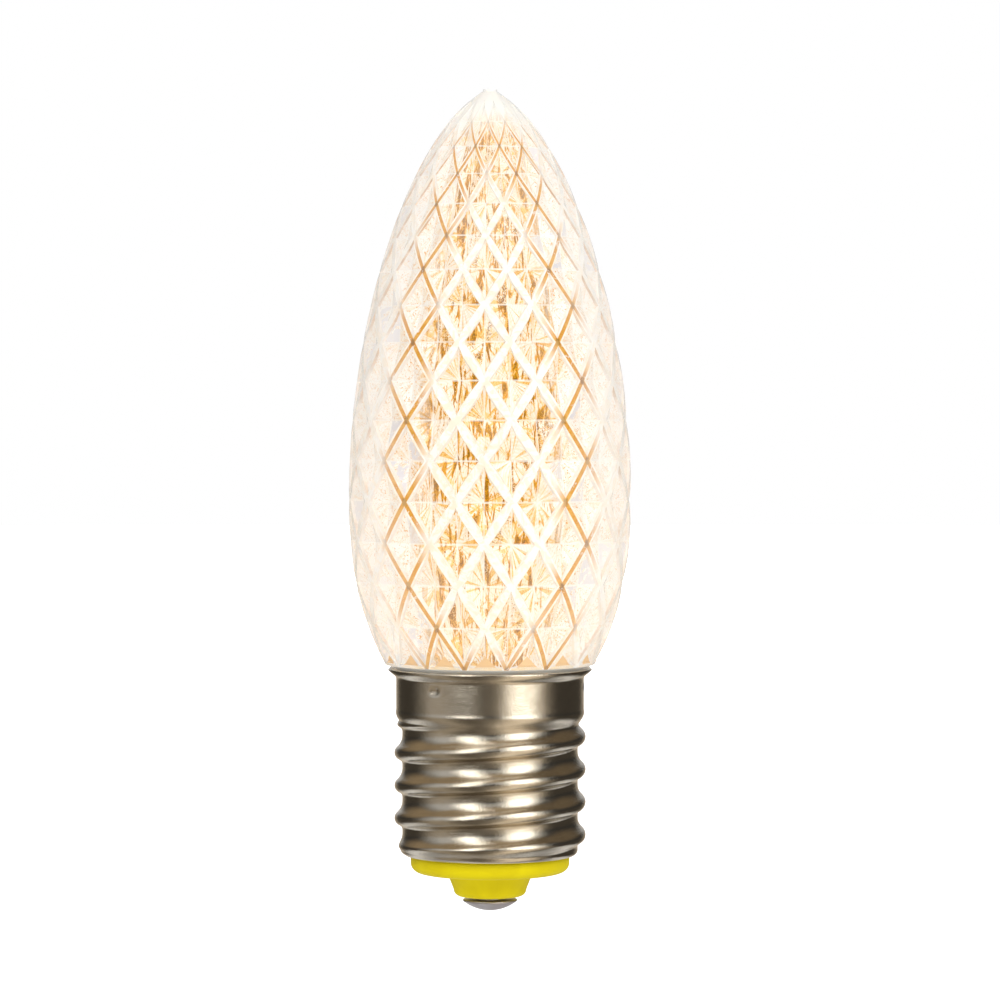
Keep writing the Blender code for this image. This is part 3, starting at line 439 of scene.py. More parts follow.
shell_look, tree, shader = new_look("bright_nickel_shell", Metallic=1.0)
node = place_group(tree, plated_metal, {
    "Bright": (0.70, 0.64, 0.54, 1.0), "Dull": (0.62, 0.56, 0.46, 1.0),
    "Polish": 0.09, "Smudge": 0.08, "Grain Size": 12000.0, "Dents": 0.9})
feed_shader(tree, shader, node, SHELL_GRAIN)

bm = bmesh.new()
edge_top = shell_bottom + EDGE_ROUND
outline = [(shell_mouth, shell_bottom)]
outline += arc(THREAD_ROOT - EDGE_ROUND, edge_top, EDGE_ROUND, -90, 0, steps=8)
rows = round((band_bottom - edge_top) / SHELL_ROW)
outline += [(THREAD_ROOT, edge_top + (band_bottom - edge_top) * i / rows)
            for i in range(1, rows + 1)]
band_rows = round(BAND_HEIGHT / SHELL_ROW)
outline += [(BAND_RADIUS, band_bottom + BAND_HEIGHT * i / band_rows)
            for i in range(1, band_rows)]
outline += arc(BAND_RADIUS + FLARE_ROUND, band_top - FLARE_ROUND / 4, FLARE_ROUND, 180,
               90 + math.degrees(flare_slope), steps=6)
outline += [(BAND_RADIUS + FLARE_WIDTH, band_top + FLARE_RISE)]
turn(bm, outline, SHELL_SIDES)

# The thread, the shoulder and the three stakes, pressed into the turned sheet
stakes = [(front_angle(STAKE_AZIMUTH + 360 * i / STAKE_COUNT), band_top - STAKE_DROP)
          for i in range(STAKE_COUNT)]
for vert in bm.verts:
    angle = math.atan2(vert.co.y, vert.co.x)
    radius = math.hypot(vert.co.x, vert.co.y)
    if vert.co.z < edge_top - MERGE:
        radius += shell_rise(angle, edge_top) * smooth_step(
            (vert.co.z - shell_bottom) / EDGE_ROUND)
    elif vert.co.z < band_bottom + BAND_EDGE + 2 * BEAD_HALF:
        radius = THREAD_ROOT + shell_rise(angle, vert.co.z)
    for stake_angle, stake_height in stakes:
        around = (angle - stake_angle + math.pi) % (2 * math.pi) - math.pi
        reach = math.hypot(around * BAND_RADIUS, vert.co.z - stake_height) / STAKE_RADIUS
        radius -= STAKE_DEPTH * smooth_step(STAKE_SPREAD - reach)
    vert.co.x = radius * math.cos(angle)
    vert.co.y = radius * math.sin(angle)

# Faces point outwards, so the sheet's thickness goes inwards
if sum(face.normal.x * face.calc_center_median().x + face.normal.y
       * face.calc_center_median().y for face in bm.faces) < 0:
    bmesh.ops.reverse_faces(bm, faces=bm.faces)
shell = finish_piece("rolled_shell", bm, shell_look, "screw_shell")
sheet = shell.modifiers.new("wall", "SOLIDIFY")
sheet.thickness = SHELL_WALL
sheet.offset = -1.0
sheet.use_even_offset = True


# Driver board and what is soldered to it
# Hidden in the cap: a green board, its capacitors, resistors and rectifier, the two leads
# and the sleeve on one of them. Their CAD shapes stay, and here they get their finish.

WIRE_GRAIN = 0.000004


def dress_node(name, look):
    """Give a CAD node its finish."""
    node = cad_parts[name]
    node.data.materials.clear()
    node.data.materials.append(look)


board_look = plastic_look("green_solder_mask", (0.03, 0.22, 0.08), (0.02, 0.15, 0.05),
                          0.28)
film_look = plastic_look("red_brown_case", (0.42, 0.09, 0.04), (0.33, 0.06, 0.03), 0.25)
can_look = plastic_look("dark_shrink_sleeve", (0.03, 0.04, 0.10), (0.02, 0.025, 0.07), 0.2)
package_look = plastic_look("black_epoxy", (0.03, 0.03, 0.032), (0.02, 0.02, 0.02), 0.45)
chip_look = plastic_look("resistor_glaze", (0.05, 0.05, 0.055), (0.03, 0.03, 0.03), 0.3)
coat_look = plastic_look("blue_grey_lacquer", (0.16, 0.26, 0.36), (0.12, 0.21, 0.3), 0.4)
sleeve_look = plastic_look("white_glass_sleeve", (0.8, 0.79, 0.75), (0.7, 0.69, 0.66), 0.5)
wire_look, tree, shader = new_look("tinned_copper", Metallic=1.0)
node = place_group(tree, plated_metal, {
    "Bright": (0.72, 0.71, 0.69, 1.0), "Dull": (0.6, 0.58, 0.55, 1.0),
    "Polish": 0.25, "Smudge": 0.15, "Grain Size": 7000.0})
feed_shader(tree, shader, node, WIRE_GRAIN)

for name, look in (("driver_board", board_look), ("film_capacitor", film_look),
                   ("smoothing_capacitor", can_look), ("bridge_rectifier", package_look),
                   ("bleeder_resistor", chip_look), ("load_resistor", chip_look),
                   ("surge_resistor", coat_look), ("lead_sleeve", sleeve_look),
                   ("shell_lead", wire_look), ("contact_lead", wire_look)):
    dress_node(name, look)


# LED board and LEDs
# A round aluminium board with white solder mask in the neck of the lens. Each of the five
# LEDs is a surface-mount package whose yellow phosphor glows warm white.

LED_GLOW = 12.0
LED_COUNT = 5
led_board_look = plastic_look("white_solder_mask", (0.86, 0.80, 0.68), (0.8, 0.72, 0.58),
                              0.3)
dress_node("led_board", led_board_look)
led_look, tree, shader = new_look("lit_led", Roughness=0.4, Emission_Strength=LED_GLOW)
at = add_node(tree, "ShaderNodeTexCoord")
speckle = add_node(tree, "ShaderNodeTexNoise", {
    "Vector": at.outputs["Object"], "Scale": 5000.0, "Detail": 2.0})
phosphor = add_node(tree, "ShaderNodeMix", {
    "Factor": speckle.outputs["Fac"], "A": (1.0, 0.66, 0.26, 1.0),
    "B": (1.0, 0.76, 0.4, 1.0)}, data_type="RGBA")
tree.links.new(phosphor.outputs["Result"], shader.inputs["Base Color"])
tree.links.new(phosphor.outputs["Result"], shader.inputs["Emission Color"])
for i in range(LED_COUNT):
    dress_node(f"led_{i + 1}", led_look)


# Lens
# One clear moulding: a cone whose outside is cut by crossing flat ribs into diamonds, each
# sunk to a four-facet pit, smooth inside, with a plain neck that is staked into the shell.

lens_low, lens_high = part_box("lens")
LENS_RADIUS = lens_high.x
LENS_RIM_RADIUS = 0.00903
LENS_BELLY_RISE = 0.01471
LENS_RIM_CURVE = 2.55
LENS_TIP_CURVE = 1.89
LENS_TIP_ROUNDNESS = 0.625
LENS_WALL = 0.0015
LENS_HEIGHT = 0.04921
GATE_RADIUS = 0.00062
GATE_DISH = 0.00004
NECK_WALL = 0.0009
NECK_GROOVE = 0.00025
STAKE_HEIGHT = 0.0008
CELLS_AROUND = 16
CELL_ROWS = 16
LATTICE_AZIMUTH = 8.95
ROW_TAPER = 0.00195
LATTICE_SEED = 9
CROWN_DEPTH = 0.0008
RIB_WIDTH = 0.0008
PIT_WALL_DEPTH = 0.00022
PIT_WALL_RUN = 0.0001
PIT_DEPTH = 0.00042
EDGE_CUTS = 2
RIB_FLAT, PIT_WALL, PIT_FACET = 1.0, 2.0, 3.0
INNER_SIDES = 96
INNER_RINGS = 36
INNER_FIRST = 0.35
LENS_SHARP = 22.0

lens_rim = band_top + FLARE_RISE + SHELL_WALL * math.cos(flare_slope) + FIT
lens_belly = lens_rim + LENS_BELLY_RISE
lens_tip = lens_rim + LENS_HEIGHT
neck_bottom = lens_low.z
neck_radius = BAND_RADIUS - SHELL_WALL - FIT
neck_bore = neck_radius - NECK_WALL


def lens_radius(height):
    """Outer radius of the lens, without its pits."""
    if height < lens_belly:
        drop = (lens_belly - height) / LENS_BELLY_RISE
        return LENS_RADIUS - (LENS_RADIUS - LENS_RIM_RADIUS) * drop ** LENS_RIM_CURVE
    rise = min((height - lens_belly) / (lens_tip - lens_belly), 1.0)
    return LENS_RADIUS * (1 - rise ** LENS_TIP_CURVE) ** LENS_TIP_ROUNDNESS


def inner_radius(height):
    """Inner radius of the lens: the outer form, in by one wall along its slope."""
    probe = LENS_WALL / 8
    slope = (lens_radius(height + probe) - lens_radius(height - probe)) / (2 * probe)
    inner = lens_radius(height) - LENS_WALL * math.hypot(1.0, slope)
    inner_tip = lens_tip - LENS_WALL
    return max(inner, math.sqrt(max(inner_tip - height, MERGE) * LENS_WALL))


def row_height(row):
    """Height of a row of rib crossings. Rows close up towards the tip."""
    def climb(k):
        return k - ROW_TAPER * (k - 1) * k * (2 * k - 1) / 6
    crown = lens_tip - CROWN_DEPTH
    return lens_rim + (crown - lens_rim) * climb(row) / climb(CELL_ROWS)


def put_on_lens(vert):
    """Move a vertex sideways on to the outer form of the lens."""
    angle = math.atan2(vert.co.y, vert.co.x)
    radius = lens_radius(vert.co.z)
    vert.co.x = radius * math.cos(angle)
    vert.co.y = radius * math.sin(angle)


def cut_lattice(bm):
    """Diamond cells between crossing ribs, then a pit sunk in each of them."""
    place = bm.loops.layers.uv.new("pit")
    zone = bm.faces.layers.float.new("zone")
    chance = bm.faces.layers.float.new("chance")
    angle = front_angle(LATTICE_AZIMUTH)
    line = []
    for row in range(0, CELL_ROWS + 1, 2):
        radius = lens_radius(row_height(row))
        line.append(bm.verts.new((radius * math.cos(angle), radius * math.sin(angle),
                                  row_height(row))))
    edges = [bm.edges.new(pair) for pair in zip(line, line[1:])]
    bmesh.ops.spin(bm, geom=line + edges, cent=(0, 0, 0), axis=(0, 0, 1),
                   angle=2 * math.pi, steps=CELLS_AROUND, use_merge=True)
    bmesh.ops.recalc_face_normals(bm, faces=bm.faces)
    face = next(iter(bm.faces))
    if face.normal.dot(face.calc_center_median() * Vector((1, 1, 0))) < 0:
        bmesh.ops.reverse_faces(bm, faces=bm.faces)
    square_edges = [edge for edge in bm.edges if not edge.is_boundary]

    # Crossings of the odd rows, half a cell round from the even ones
    rows = [row_height(row) for row in range(CELL_ROWS + 1)]
    for vert in bmesh.ops.poke(bm, faces=bm.faces)["verts"]:
        vert.co.z = min(rows[1::2], key=lambda height: abs(height - vert.co.z))
        put_on_lens(vert)
    bmesh.ops.dissolve_edges(bm, edges=square_edges, use_verts=False)

    # Ribs follow the round of the lens between two crossings
    bmesh.ops.subdivide_edges(bm, edges=bm.edges, cuts=EDGE_CUTS)
    for vert in bm.verts:
        put_on_lens(vert)

    cells = [face for face in bm.faces
             if sum(abs(vert.co.z - rows[-1]) < MERGE for vert in face.verts) < 2]
    cell_turn = math.pi / CELLS_AROUND

    # Row by row and round each row, so that every run gives a cell the same luck
    def cell_order(cell):
        middle = cell.calc_center_median()
        row = min(range(len(rows)), key=lambda k: abs(rows[k] - middle.z))
        return row, math.atan2(middle.y, middle.x)
    cells.sort(key=cell_order)
    random.seed(LATTICE_SEED)
    for cell in cells:
        low = min(vert.co.z for vert in cell.verts)
        high = max(vert.co.z for vert in cell.verts)
        middle = cell.calc_center_median()
        scale = lens_radius(middle.z) / LENS_RADIUS
        around = math.atan2(middle.y, middle.x)
        level = rows[0] if low < rows[0] + MERGE and high < rows[1] + MERGE else min(
            rows, key=lambda height: abs(height - middle.z))
        luck = random.random()
        made = bmesh.ops.inset_individual(bm, faces=[cell], thickness=RIB_WIDTH / 2 * scale)
        for vert in cell.verts:
            put_on_lens(vert)
        parts = [(RIB_FLAT, made["faces"])]
        made = bmesh.ops.inset_individual(bm, faces=[cell], thickness=PIT_WALL_RUN * scale,
                                          depth=-PIT_WALL_DEPTH * scale)
        parts.append((PIT_WALL, made["faces"]))
        made = bmesh.ops.poke(bm, faces=[cell], offset=-PIT_DEPTH * scale)
        parts.append((PIT_FACET, made["faces"]))
        for mark, faces in parts:
            for face in faces:
                face[zone] = mark
                face[chance] = luck
                for loop in face.loops:
                    spot = loop.vert.co
                    aside = math.atan2(spot.y, spot.x) - around
                    aside = (aside + math.pi) % (2 * math.pi) - math.pi
                    rise = spot.z - level
                    reach = high - level if rise > 0 else max(level - low, MERGE)
                    loop[place].uv = (0.5 + 0.5 * aside / cell_turn,
                                      0.5 + 0.5 * rise / reach)


def open_ring(bm, height):
    """The open edges that lie at one height."""
    return [edge for edge in bm.edges if edge.is_boundary
            and all(abs(vert.co.z - height) < MERGE for vert in edge.verts)]


LENS_CLEARNESS = 0.36
LENS_PAINTED_GLOW = 0.06
MOULD_LINES = 0.000012
BRIGHT_CREAM = (1.0, 1.0, 0.975)
PEACH = (0.97, 0.62, 0.18)
AMBER = (0.80, 0.33, 0.004)
BROWN = (0.27, 0.10, 0.002)
RIM_TAN = (0.90, 0.55, 0.24)
RIM_TAN_RISE = 0.0012
RIM_TAN_WIDTH, RIM_TAN_REACH = 0.65, 0.33
PALE_RIM = (0.014, 0.006)
PALE_TOP = (0.048, 0.060)
PAINTED_TIP_LIGHT = (0.0660, 0.0692)
WHITE = (1.0, 1.0, 1.0)
PAINTED_EDGE_GREY = (0.70, 0.68, 0.68)
LILAC = (0.76, 0.75, 0.82)
# The lens glows with the colours painted on it below, though it is no lamp: painted light
lens_look, tree, shader = new_look("clear_lens", Roughness=0.03, IOR=1.49,
                                   Transmission_Weight=LENS_CLEARNESS,
                                   Emission_Strength=LENS_PAINTED_GLOW)


def sum_up(kind, *values):
    """A Math node's result on numbers or other nodes' values."""
    node = add_node(tree, "ShaderNodeMath", dict(enumerate(values)), operation=kind)
    return node.outputs["Value"]


def fade(value, start, end):
    """Smooth 0 to 1 as a value goes from start to end."""
    node = add_node(tree, "ShaderNodeMapRange", {
        "Value": value, "From Min": start, "From Max": end},
        interpolation_type="SMOOTHSTEP")
    return node.outputs["Result"]


def blend(share, first, second):
    """Mix two colours."""
    pair = {}
    for key, colour in (("A", first), ("B", second)):
        pair[key] = (*colour, 1.0) if isinstance(colour, tuple) else colour
    node = add_node(tree, "ShaderNodeMix", {"Factor": share, **pair}, data_type="RGBA")
    return node.outputs["Result"]


def face_value(name):
    """A value kept on each face of the mesh."""
    return add_node(tree, "ShaderNodeAttribute", attribute_name=name).outputs["Fac"]


def from_zone(mark):
    """1 on the faces of a zone and of the zones after it."""
    return fade(zone, mark - 0.6, mark - 0.4)


# Where a point lies in its pit, from -1 to 1 sideways and up, its zone, the random values
# of its cell and facet, and how far the surface and the bulb's round turn away from the
# view there, which steer where light and shade are painted below
at = add_node(tree, "ShaderNodeTexCoord").outputs["Object"]
pit = add_node(tree, "ShaderNodeUVMap", uv_map="pit").outputs["UV"]
across = add_node(tree, "ShaderNodeSeparateXYZ", {"Vector": pit})
side = sum_up("MULTIPLY_ADD", across.outputs["X"], 2.0, -1.0)
rise = sum_up("MULTIPLY_ADD", across.outputs["Y"], 2.0, -1.0)
beside = sum_up("ABSOLUTE", side)
above = sum_up("ABSOLUTE", rise)
outward = sum_up("ADD", beside, above)
zone = face_value("zone")
luck = face_value("chance")
second_luck = sum_up("FRACT", sum_up("MULTIPLY", luck, 7.31))
third_luck = sum_up("FRACT", sum_up("MULTIPLY", luck, 23.7))
upper = fade(rise, -0.02, 0.02)
facet_luck = sum_up("MULTIPLY_ADD", fade(side, -0.01, 0.01), 0.37,
                    sum_up("MULTIPLY_ADD", upper, 0.61, sum_up("MULTIPLY", luck, 37.7)))
facet_luck = sum_up("FRACT", facet_luck)
turned_away = add_node(tree, "ShaderNodeLayerWeight", {"Blend": 0.5}).outputs["Facing"]
height = add_node(tree, "ShaderNodeSeparateXYZ", {"Vector": at}).outputs["Z"]
radial = add_node(tree, "ShaderNodeVectorMath", {0: at, 1: (1.0, 1.0, 0.0)},
                  operation="MULTIPLY").outputs["Vector"]
radial = add_node(tree, "ShaderNodeVectorTransform", {"Vector": radial},
                  vector_type="NORMAL", convert_from="OBJECT", convert_to="WORLD")
off_middle = add_node(tree, "ShaderNodeLayerWeight", {
    "Blend": 0.5, "Normal": radial.outputs["Vector"]}).outputs["Facing"]

# Facets: painted light from cream to peach, warmer in their upper half, in random patches
# and facets and where the bulb faces the view, with the fine turned lines of the mould
flow = add_node(tree, "ShaderNodeTexNoise", {
    "Vector": at, "Scale": 1000.0, "Detail": 4.0, "Roughness": 0.65,
    "Distortion": 1.2}).outputs["Fac"]
broken_light_noise = add_node(tree, "ShaderNodeTexNoise", {
    "Vector": at, "Scale": 3400.0, "Detail": 3.0, "Roughness": 0.6,
    "Distortion": 2.0}).outputs["Fac"]
shifted = add_node(tree, "ShaderNodeVectorMath", {
    0: pit, 1: add_node(tree, "ShaderNodeCombineXYZ", {
        "X": luck, "Y": second_luck, "Z": 0.0}).outputs["Vector"]}, operation="SUBTRACT")
lines = add_node(tree, "ShaderNodeTexWave", {
    "Vector": shifted.outputs["Vector"], "Scale": 7.0, "Distortion": 2.4, "Detail": 2.0,
    "Detail Scale": 1.2}, wave_type="RINGS", rings_direction="Z").outputs["Fac"]
# Where the bulb's round faces the view: the painted light is warmest there
ahead = fade(off_middle, 0.22, 0.05)
warmth = sum_up("MULTIPLY", upper, 0.08)
warmth = sum_up("MULTIPLY_ADD", sum_up("SUBTRACT", lines, 0.5), 0.24, warmth)
warmth = sum_up("MULTIPLY_ADD", facet_luck, 0.17, warmth)
warmth = sum_up("MULTIPLY_ADD", ahead, 0.16, warmth)
patches = sum_up("MULTIPLY", fade(flow, 0.54, 0.60),
                 sum_up("MULTIPLY_ADD", facet_luck, 0.6, 0.2))
warmth = sum_up("MINIMUM", sum_up("MAXIMUM", sum_up("ADD", warmth, patches), 0.0), 1.0)
warmth = sum_up("MULTIPLY", warmth, sum_up("MULTIPLY_ADD", ahead, 0.62, 0.38))
facet = blend(warmth, BRIGHT_CREAM, PEACH)

# Rays that run out from the middle of a pit, as the light breaks in its facets
centred = add_node(tree, "ShaderNodeCombineXYZ", {"X": side, "Y": rise, "Z": 0.0})
spread = add_node(tree, "ShaderNodeVectorMath", {0: centred.outputs["Vector"]},
                  operation="NORMALIZE")
rays_at = add_node(tree, "ShaderNodeVectorMath", {
    0: spread.outputs["Vector"], 1: (2.6, 2.6, 0.0),
    2: add_node(tree, "ShaderNodeCombineXYZ", {
        "X": sum_up("MULTIPLY", luck, 9.0), "Y": second_luck, "Z": third_luck}
    ).outputs["Vector"]}, operation="MULTIPLY_ADD")
rays = add_node(tree, "ShaderNodeTexNoise", {
    "Vector": rays_at.outputs["Vector"], "Scale": 1.6, "Detail": 4.0,
    "Roughness": 0.7}).outputs["Fac"]
ray_share = sum_up("MULTIPLY", fade(rays, 0.51, 0.58), fade(outward, 0.05, 0.30))
ray_share = sum_up("MULTIPLY", ray_share, sum_up("MULTIPLY_ADD", ahead, 0.60, 0.36))
facet = blend(ray_share, facet, blend(fade(broken_light_noise, 0.44, 0.60), PEACH, AMBER))

# Painted light and shade: upright flames of amber and brown where the pits are seen
# straight on, amber glints and a few facets with a cool painted reflection where they
# aren't, and painted highlights in pale lines where the facets of a pit meet
flames_at = add_node(tree, "ShaderNodeCombineXYZ", {
    "X": sum_up("MULTIPLY_ADD", side, 2.6, sum_up("MULTIPLY", luck, 31.0)),
    "Y": sum_up("MULTIPLY", rise, 0.8), "Z": second_luck})
flames = add_node(tree, "ShaderNodeTexNoise", {
    "Vector": flames_at.outputs["Vector"], "Scale": 1.7, "Detail": 4.0, "Roughness": 0.65,
    "Distortion": 0.9}).outputs["Fac"]
flame = sum_up("MULTIPLY", fade(flames, 0.50, 0.54), ahead)
flame = sum_up("MULTIPLY", flame, fade(sum_up("ADD", facet_luck, broken_light_noise), 0.70, 0.90))
ember = sum_up("MULTIPLY", fade(flames, 0.53, 0.61), fade(broken_light_noise, 0.36, 0.52))
facet = blend(flame, facet, blend(ember, AMBER, BROWN))
amber_glints = sum_up("MULTIPLY", fade(broken_light_noise, 0.57, 0.62), fade(off_middle, 0.05, 0.2))
facet = blend(sum_up("MULTIPLY", amber_glints, 0.9), facet, AMBER)
cool_reflection = sum_up("MULTIPLY", fade(facet_luck, 0.16, 0.10), fade(off_middle, 0.06, 0.2))
facet = blend(sum_up("MULTIPLY", cool_reflection, fade(flow, 0.42, 0.52)), facet, LILAC)
glint = sum_up("MAXIMUM", fade(beside, 0.035, 0.01), fade(above, 0.035, 0.01))
facet = blend(sum_up("MULTIPLY", glint, 0.55), facet, BRIGHT_CREAM)

# Walls of the pits, painted light and shade: the amber line round each diamond, browner in
# its upper half and in random patches, and paler where the wall turns away from the view
depth = sum_up("MULTIPLY_ADD", upper, 0.35, 0.50)
depth = sum_up("MULTIPLY_ADD", sum_up("SUBTRACT", flow, 0.5), 2.4, depth)
depth = sum_up("MINIMUM", sum_up("MAXIMUM", depth, 0.0), 1.0)
wall = blend(depth, blend(0.4, BRIGHT_CREAM, AMBER), blend(0.45, AMBER, BROWN))
wall = blend(sum_up("MULTIPLY", fade(turned_away, 0.07, 0.15), 0.75), wall, BRIGHT_CREAM)

# Ribs: white, with painted light: one amber line along the middle where they are seen at a
# slant, brown where they cross and broken in random places, and peach in random patches and
# along their inner edges
slant = sum_up("MULTIPLY", fade(turned_away, 0.09, 0.17), fade(turned_away, 0.42, 0.30))
core = fade(outward, 0.88, 0.92)
knot = fade(sum_up("MAXIMUM", beside, above), 0.87, 0.95)
core = sum_up("MULTIPLY", sum_up("MAXIMUM", core, knot), slant)
core = sum_up("MULTIPLY", core, fade(flow, 0.26, 0.42))
rib = blend(core, BRIGHT_CREAM, blend(knot, blend(0.25, AMBER, BROWN), BROWN))
rib = blend(sum_up("MULTIPLY", fade(flow, 0.44, 0.60), 0.30), rib, PEACH)
rib_line = sum_up("MULTIPLY", fade(outward, 0.83, 0.79), 0.5)
rib = blend(rib_line, rib, PEACH)

# Each zone in the colour painted on it above, whiter to the sides as seen and a little
# toward the ends, with a tan row at the rim, the tip painted white with the light of the
# LEDs and a grey outline painted where the surface turns away: painted light and shade
pattern = blend(from_zone(RIB_FLAT), BRIGHT_CREAM, rib)
pattern = blend(from_zone(PIT_WALL), pattern, wall)
pattern = blend(from_zone(PIT_FACET), pattern, facet)
pattern = blend(sum_up("MULTIPLY", fade(off_middle, 0.15, 0.5), 0.52), pattern, WHITE)
apex = sum_up("ADD", sum_up("DIVIDE", beside, RIM_TAN_WIDTH),
              sum_up("DIVIDE", above, RIM_TAN_REACH))
rim_tan = sum_up("MULTIPLY", fade(apex, 1.04, 0.96),
                 fade(height, lens_rim + RIM_TAN_RISE, lens_rim + RIM_TAN_RISE * 0.95))
pattern = blend(sum_up("MULTIPLY", rim_tan, from_zone(PIT_WALL)), pattern, RIM_TAN)
ends = sum_up("MAXIMUM", fade(height, *PALE_TOP),
              fade(height, lens_rim + PALE_RIM[0], lens_rim + PALE_RIM[1]))
pattern = blend(sum_up("MULTIPLY", ends, 0.1), pattern, BRIGHT_CREAM)
pattern = blend(fade(height, *PAINTED_TIP_LIGHT), pattern, BRIGHT_CREAM)
pattern = blend(fade(turned_away, 0.84, 0.98), pattern, PAINTED_EDGE_GREY)
# The painted pattern is both the colour of the lens and its painted glow
tree.links.new(pattern, shader.inputs["Base Color"])
tree.links.new(pattern, shader.inputs["Emission Color"])
bump = add_node(tree, "ShaderNodeBump", {"Height": lines, "Distance": MOULD_LINES})
tree.links.new(bump.outputs["Normal"], shader.inputs["Normal"])

# The lattice, and the flat gate mark that closes it at the tip
bm = bmesh.new()
cut_lattice(bm)
ring = open_ring(bm, row_height(CELL_ROWS))
for radius, height in ((GATE_RADIUS, lens_tip), (GATE_RADIUS, lens_high.z)):
    made = bmesh.ops.extrude_edge_only(bm, edges=ring)["geom"]
    verts = {item for item in made if isinstance(item, bmesh.types.BMVert)}
    ring = [item for item in made if isinstance(item, bmesh.types.BMEdge)
            and set(item.verts) <= verts]
    for vert in verts:
        angle = math.atan2(vert.co.y, vert.co.x)
        vert.co = (radius * math.cos(angle), radius * math.sin(angle), height)
cap = bmesh.ops.contextual_create(bm, geom=ring)["faces"]
bmesh.ops.poke(bm, faces=cap)["verts"][0].co = (0.0, 0.0, lens_high.z - GATE_DISH)

# Rim, seat, neck, stake groove and the smooth inside, turned and joined to the lattice
seat = SHELL_WALL + FIT
seat_height = band_top + FLARE_RISE + seat * math.cos(flare_slope)
seat_radius = BAND_RADIUS + FLARE_WIDTH - seat * math.sin(flare_slope)
seat_radius -= (seat_height - lens_rim) / math.tan(flare_slope)
seat_drop = (seat_radius - neck_radius) * math.tan(flare_slope)
stake_height = band_top - STAKE_DROP
groove_half = STAKE_HEIGHT / 2 + FIT / 2
groove_radius = neck_radius - NECK_GROOVE
outline = [
    (seat_radius, lens_rim),
    (neck_radius, lens_rim - seat_drop),
    (neck_radius, stake_height + groove_half),
    (groove_radius, stake_height + groove_half / 2),
    (groove_radius, stake_height - groove_half / 2),
    (neck_radius, stake_height - groove_half),
    (neck_radius, neck_bottom),
    (neck_bore, neck_bottom),
    (neck_bore, lens_rim),
]
inner_tip = lens_tip - LENS_WALL
inner_low = lens_rim + LENS_WALL / 2
for i in range(INNER_RINGS):
    share = math.sin(math.pi / 2 * (i + INNER_FIRST) / INNER_RINGS)
    height = inner_low + (inner_tip - inner_low) * share
    outline.append((inner_radius(height), height))
outline.append((0.0, inner_tip))
turn(bm, outline, INNER_SIDES)
rims = open_ring(bm, lens_rim)
bmesh.ops.bridge_loops(bm, edges=rims)
bmesh.ops.recalc_face_normals(bm, faces=bm.faces)
finish_piece("faceted_lens", bm, lens_look, "lens", sharp=LENS_SHARP)


# Studio
# White backdrop and pale floor, soft lamps, a room with two soft boxes that the nickel
# mirrors, and a camera as far off as the photograph's perspective shows.

CAMERA_DISTANCE = 0.33
CAMERA_HEIGHT = 0.0435
PHOTO_CENTRE = Vector((0.00086, 0.0, 0.0354))
PHOTO_FIELD = 14.86
FLOOR_DROP = 0.06
FLOOR_RADIUS = 3.0
LAMP_DISTANCE = 0.6
LAMP_SIZE = 0.35
BACKDROP_LIGHT = 0.6

# The direction that a ray looks in, as shares of a full turn and of a half turn
world = bpy.data.worlds.new("white_studio")
bpy.context.scene.world = world
world.use_nodes = True
tree = world.node_tree
backdrop = tree.nodes["Background"]
ray = add_node(tree, "ShaderNodeLightPath")
at = add_node(tree, "ShaderNodeTexCoord")
way = add_node(tree, "ShaderNodeSeparateXYZ", {"Vector": at.outputs["Generated"]})
back = add_node(tree, "ShaderNodeMath", {0: way.outputs["Y"], 1: -1.0},
                operation="MULTIPLY")
around = add_node(tree, "ShaderNodeMath", {0: way.outputs["X"], 1: back.outputs["Value"]},
                  operation="ARCTAN2")
turned = add_node(tree, "ShaderNodeMapRange", {
    "Value": around.outputs["Value"], "From Min": -math.pi, "From Max": math.pi})
rise = add_node(tree, "ShaderNodeMath", {0: way.outputs["Z"]}, operation="ARCSINE")
climb = add_node(tree, "ShaderNodeMapRange", {
    "Value": rise.outputs["Value"], "From Min": -math.pi / 2, "From Max": math.pi / 2})


def ramp(value, stops):
    """A colour ramp whose stops are (place from 0 to 1, colour)."""
    node = add_node(tree, "ShaderNodeValToRGB", {"Fac": value})
    elements = node.color_ramp.elements
    while len(elements) > 1:
        elements.remove(elements[-1])
    for i, (place, colour) in enumerate(stops):
        element = elements[0] if i == 0 else elements.new(place)
        element.position = place
        element.color = (*colour, 1.0)
    return node.outputs["Color"]


def by_azimuth(tint, *stops):
    """Brightness round the bulb from stops of (azimuth in degrees, level)."""
    return ramp(turned.outputs["Result"], [
        ((azimuth + 180) / 360, tuple(level * share for share in tint))
        for azimuth, level in stops])


def by_elevation(*stops):
    """A share of 0 to 1 from stops of (elevation in degrees, share)."""
    return ramp(climb.outputs["Result"], [
        ((elevation + 90) / 180, (share, share, share)) for elevation, share in stops])


def room_part(kind, first, second, share=1.0):
    """Two parts of the room put together."""
    return add_node(tree, "ShaderNodeMix", {"Factor": share, "A": first, "B": second},
                    data_type="RGBA", blend_type=kind).outputs["Result"]


BOX_WHITE = (2.9, 2.84, 2.7, 1.0)
GREY = (1.0, 0.86, 0.68)
TAN = (1.0, 0.76, 0.48)

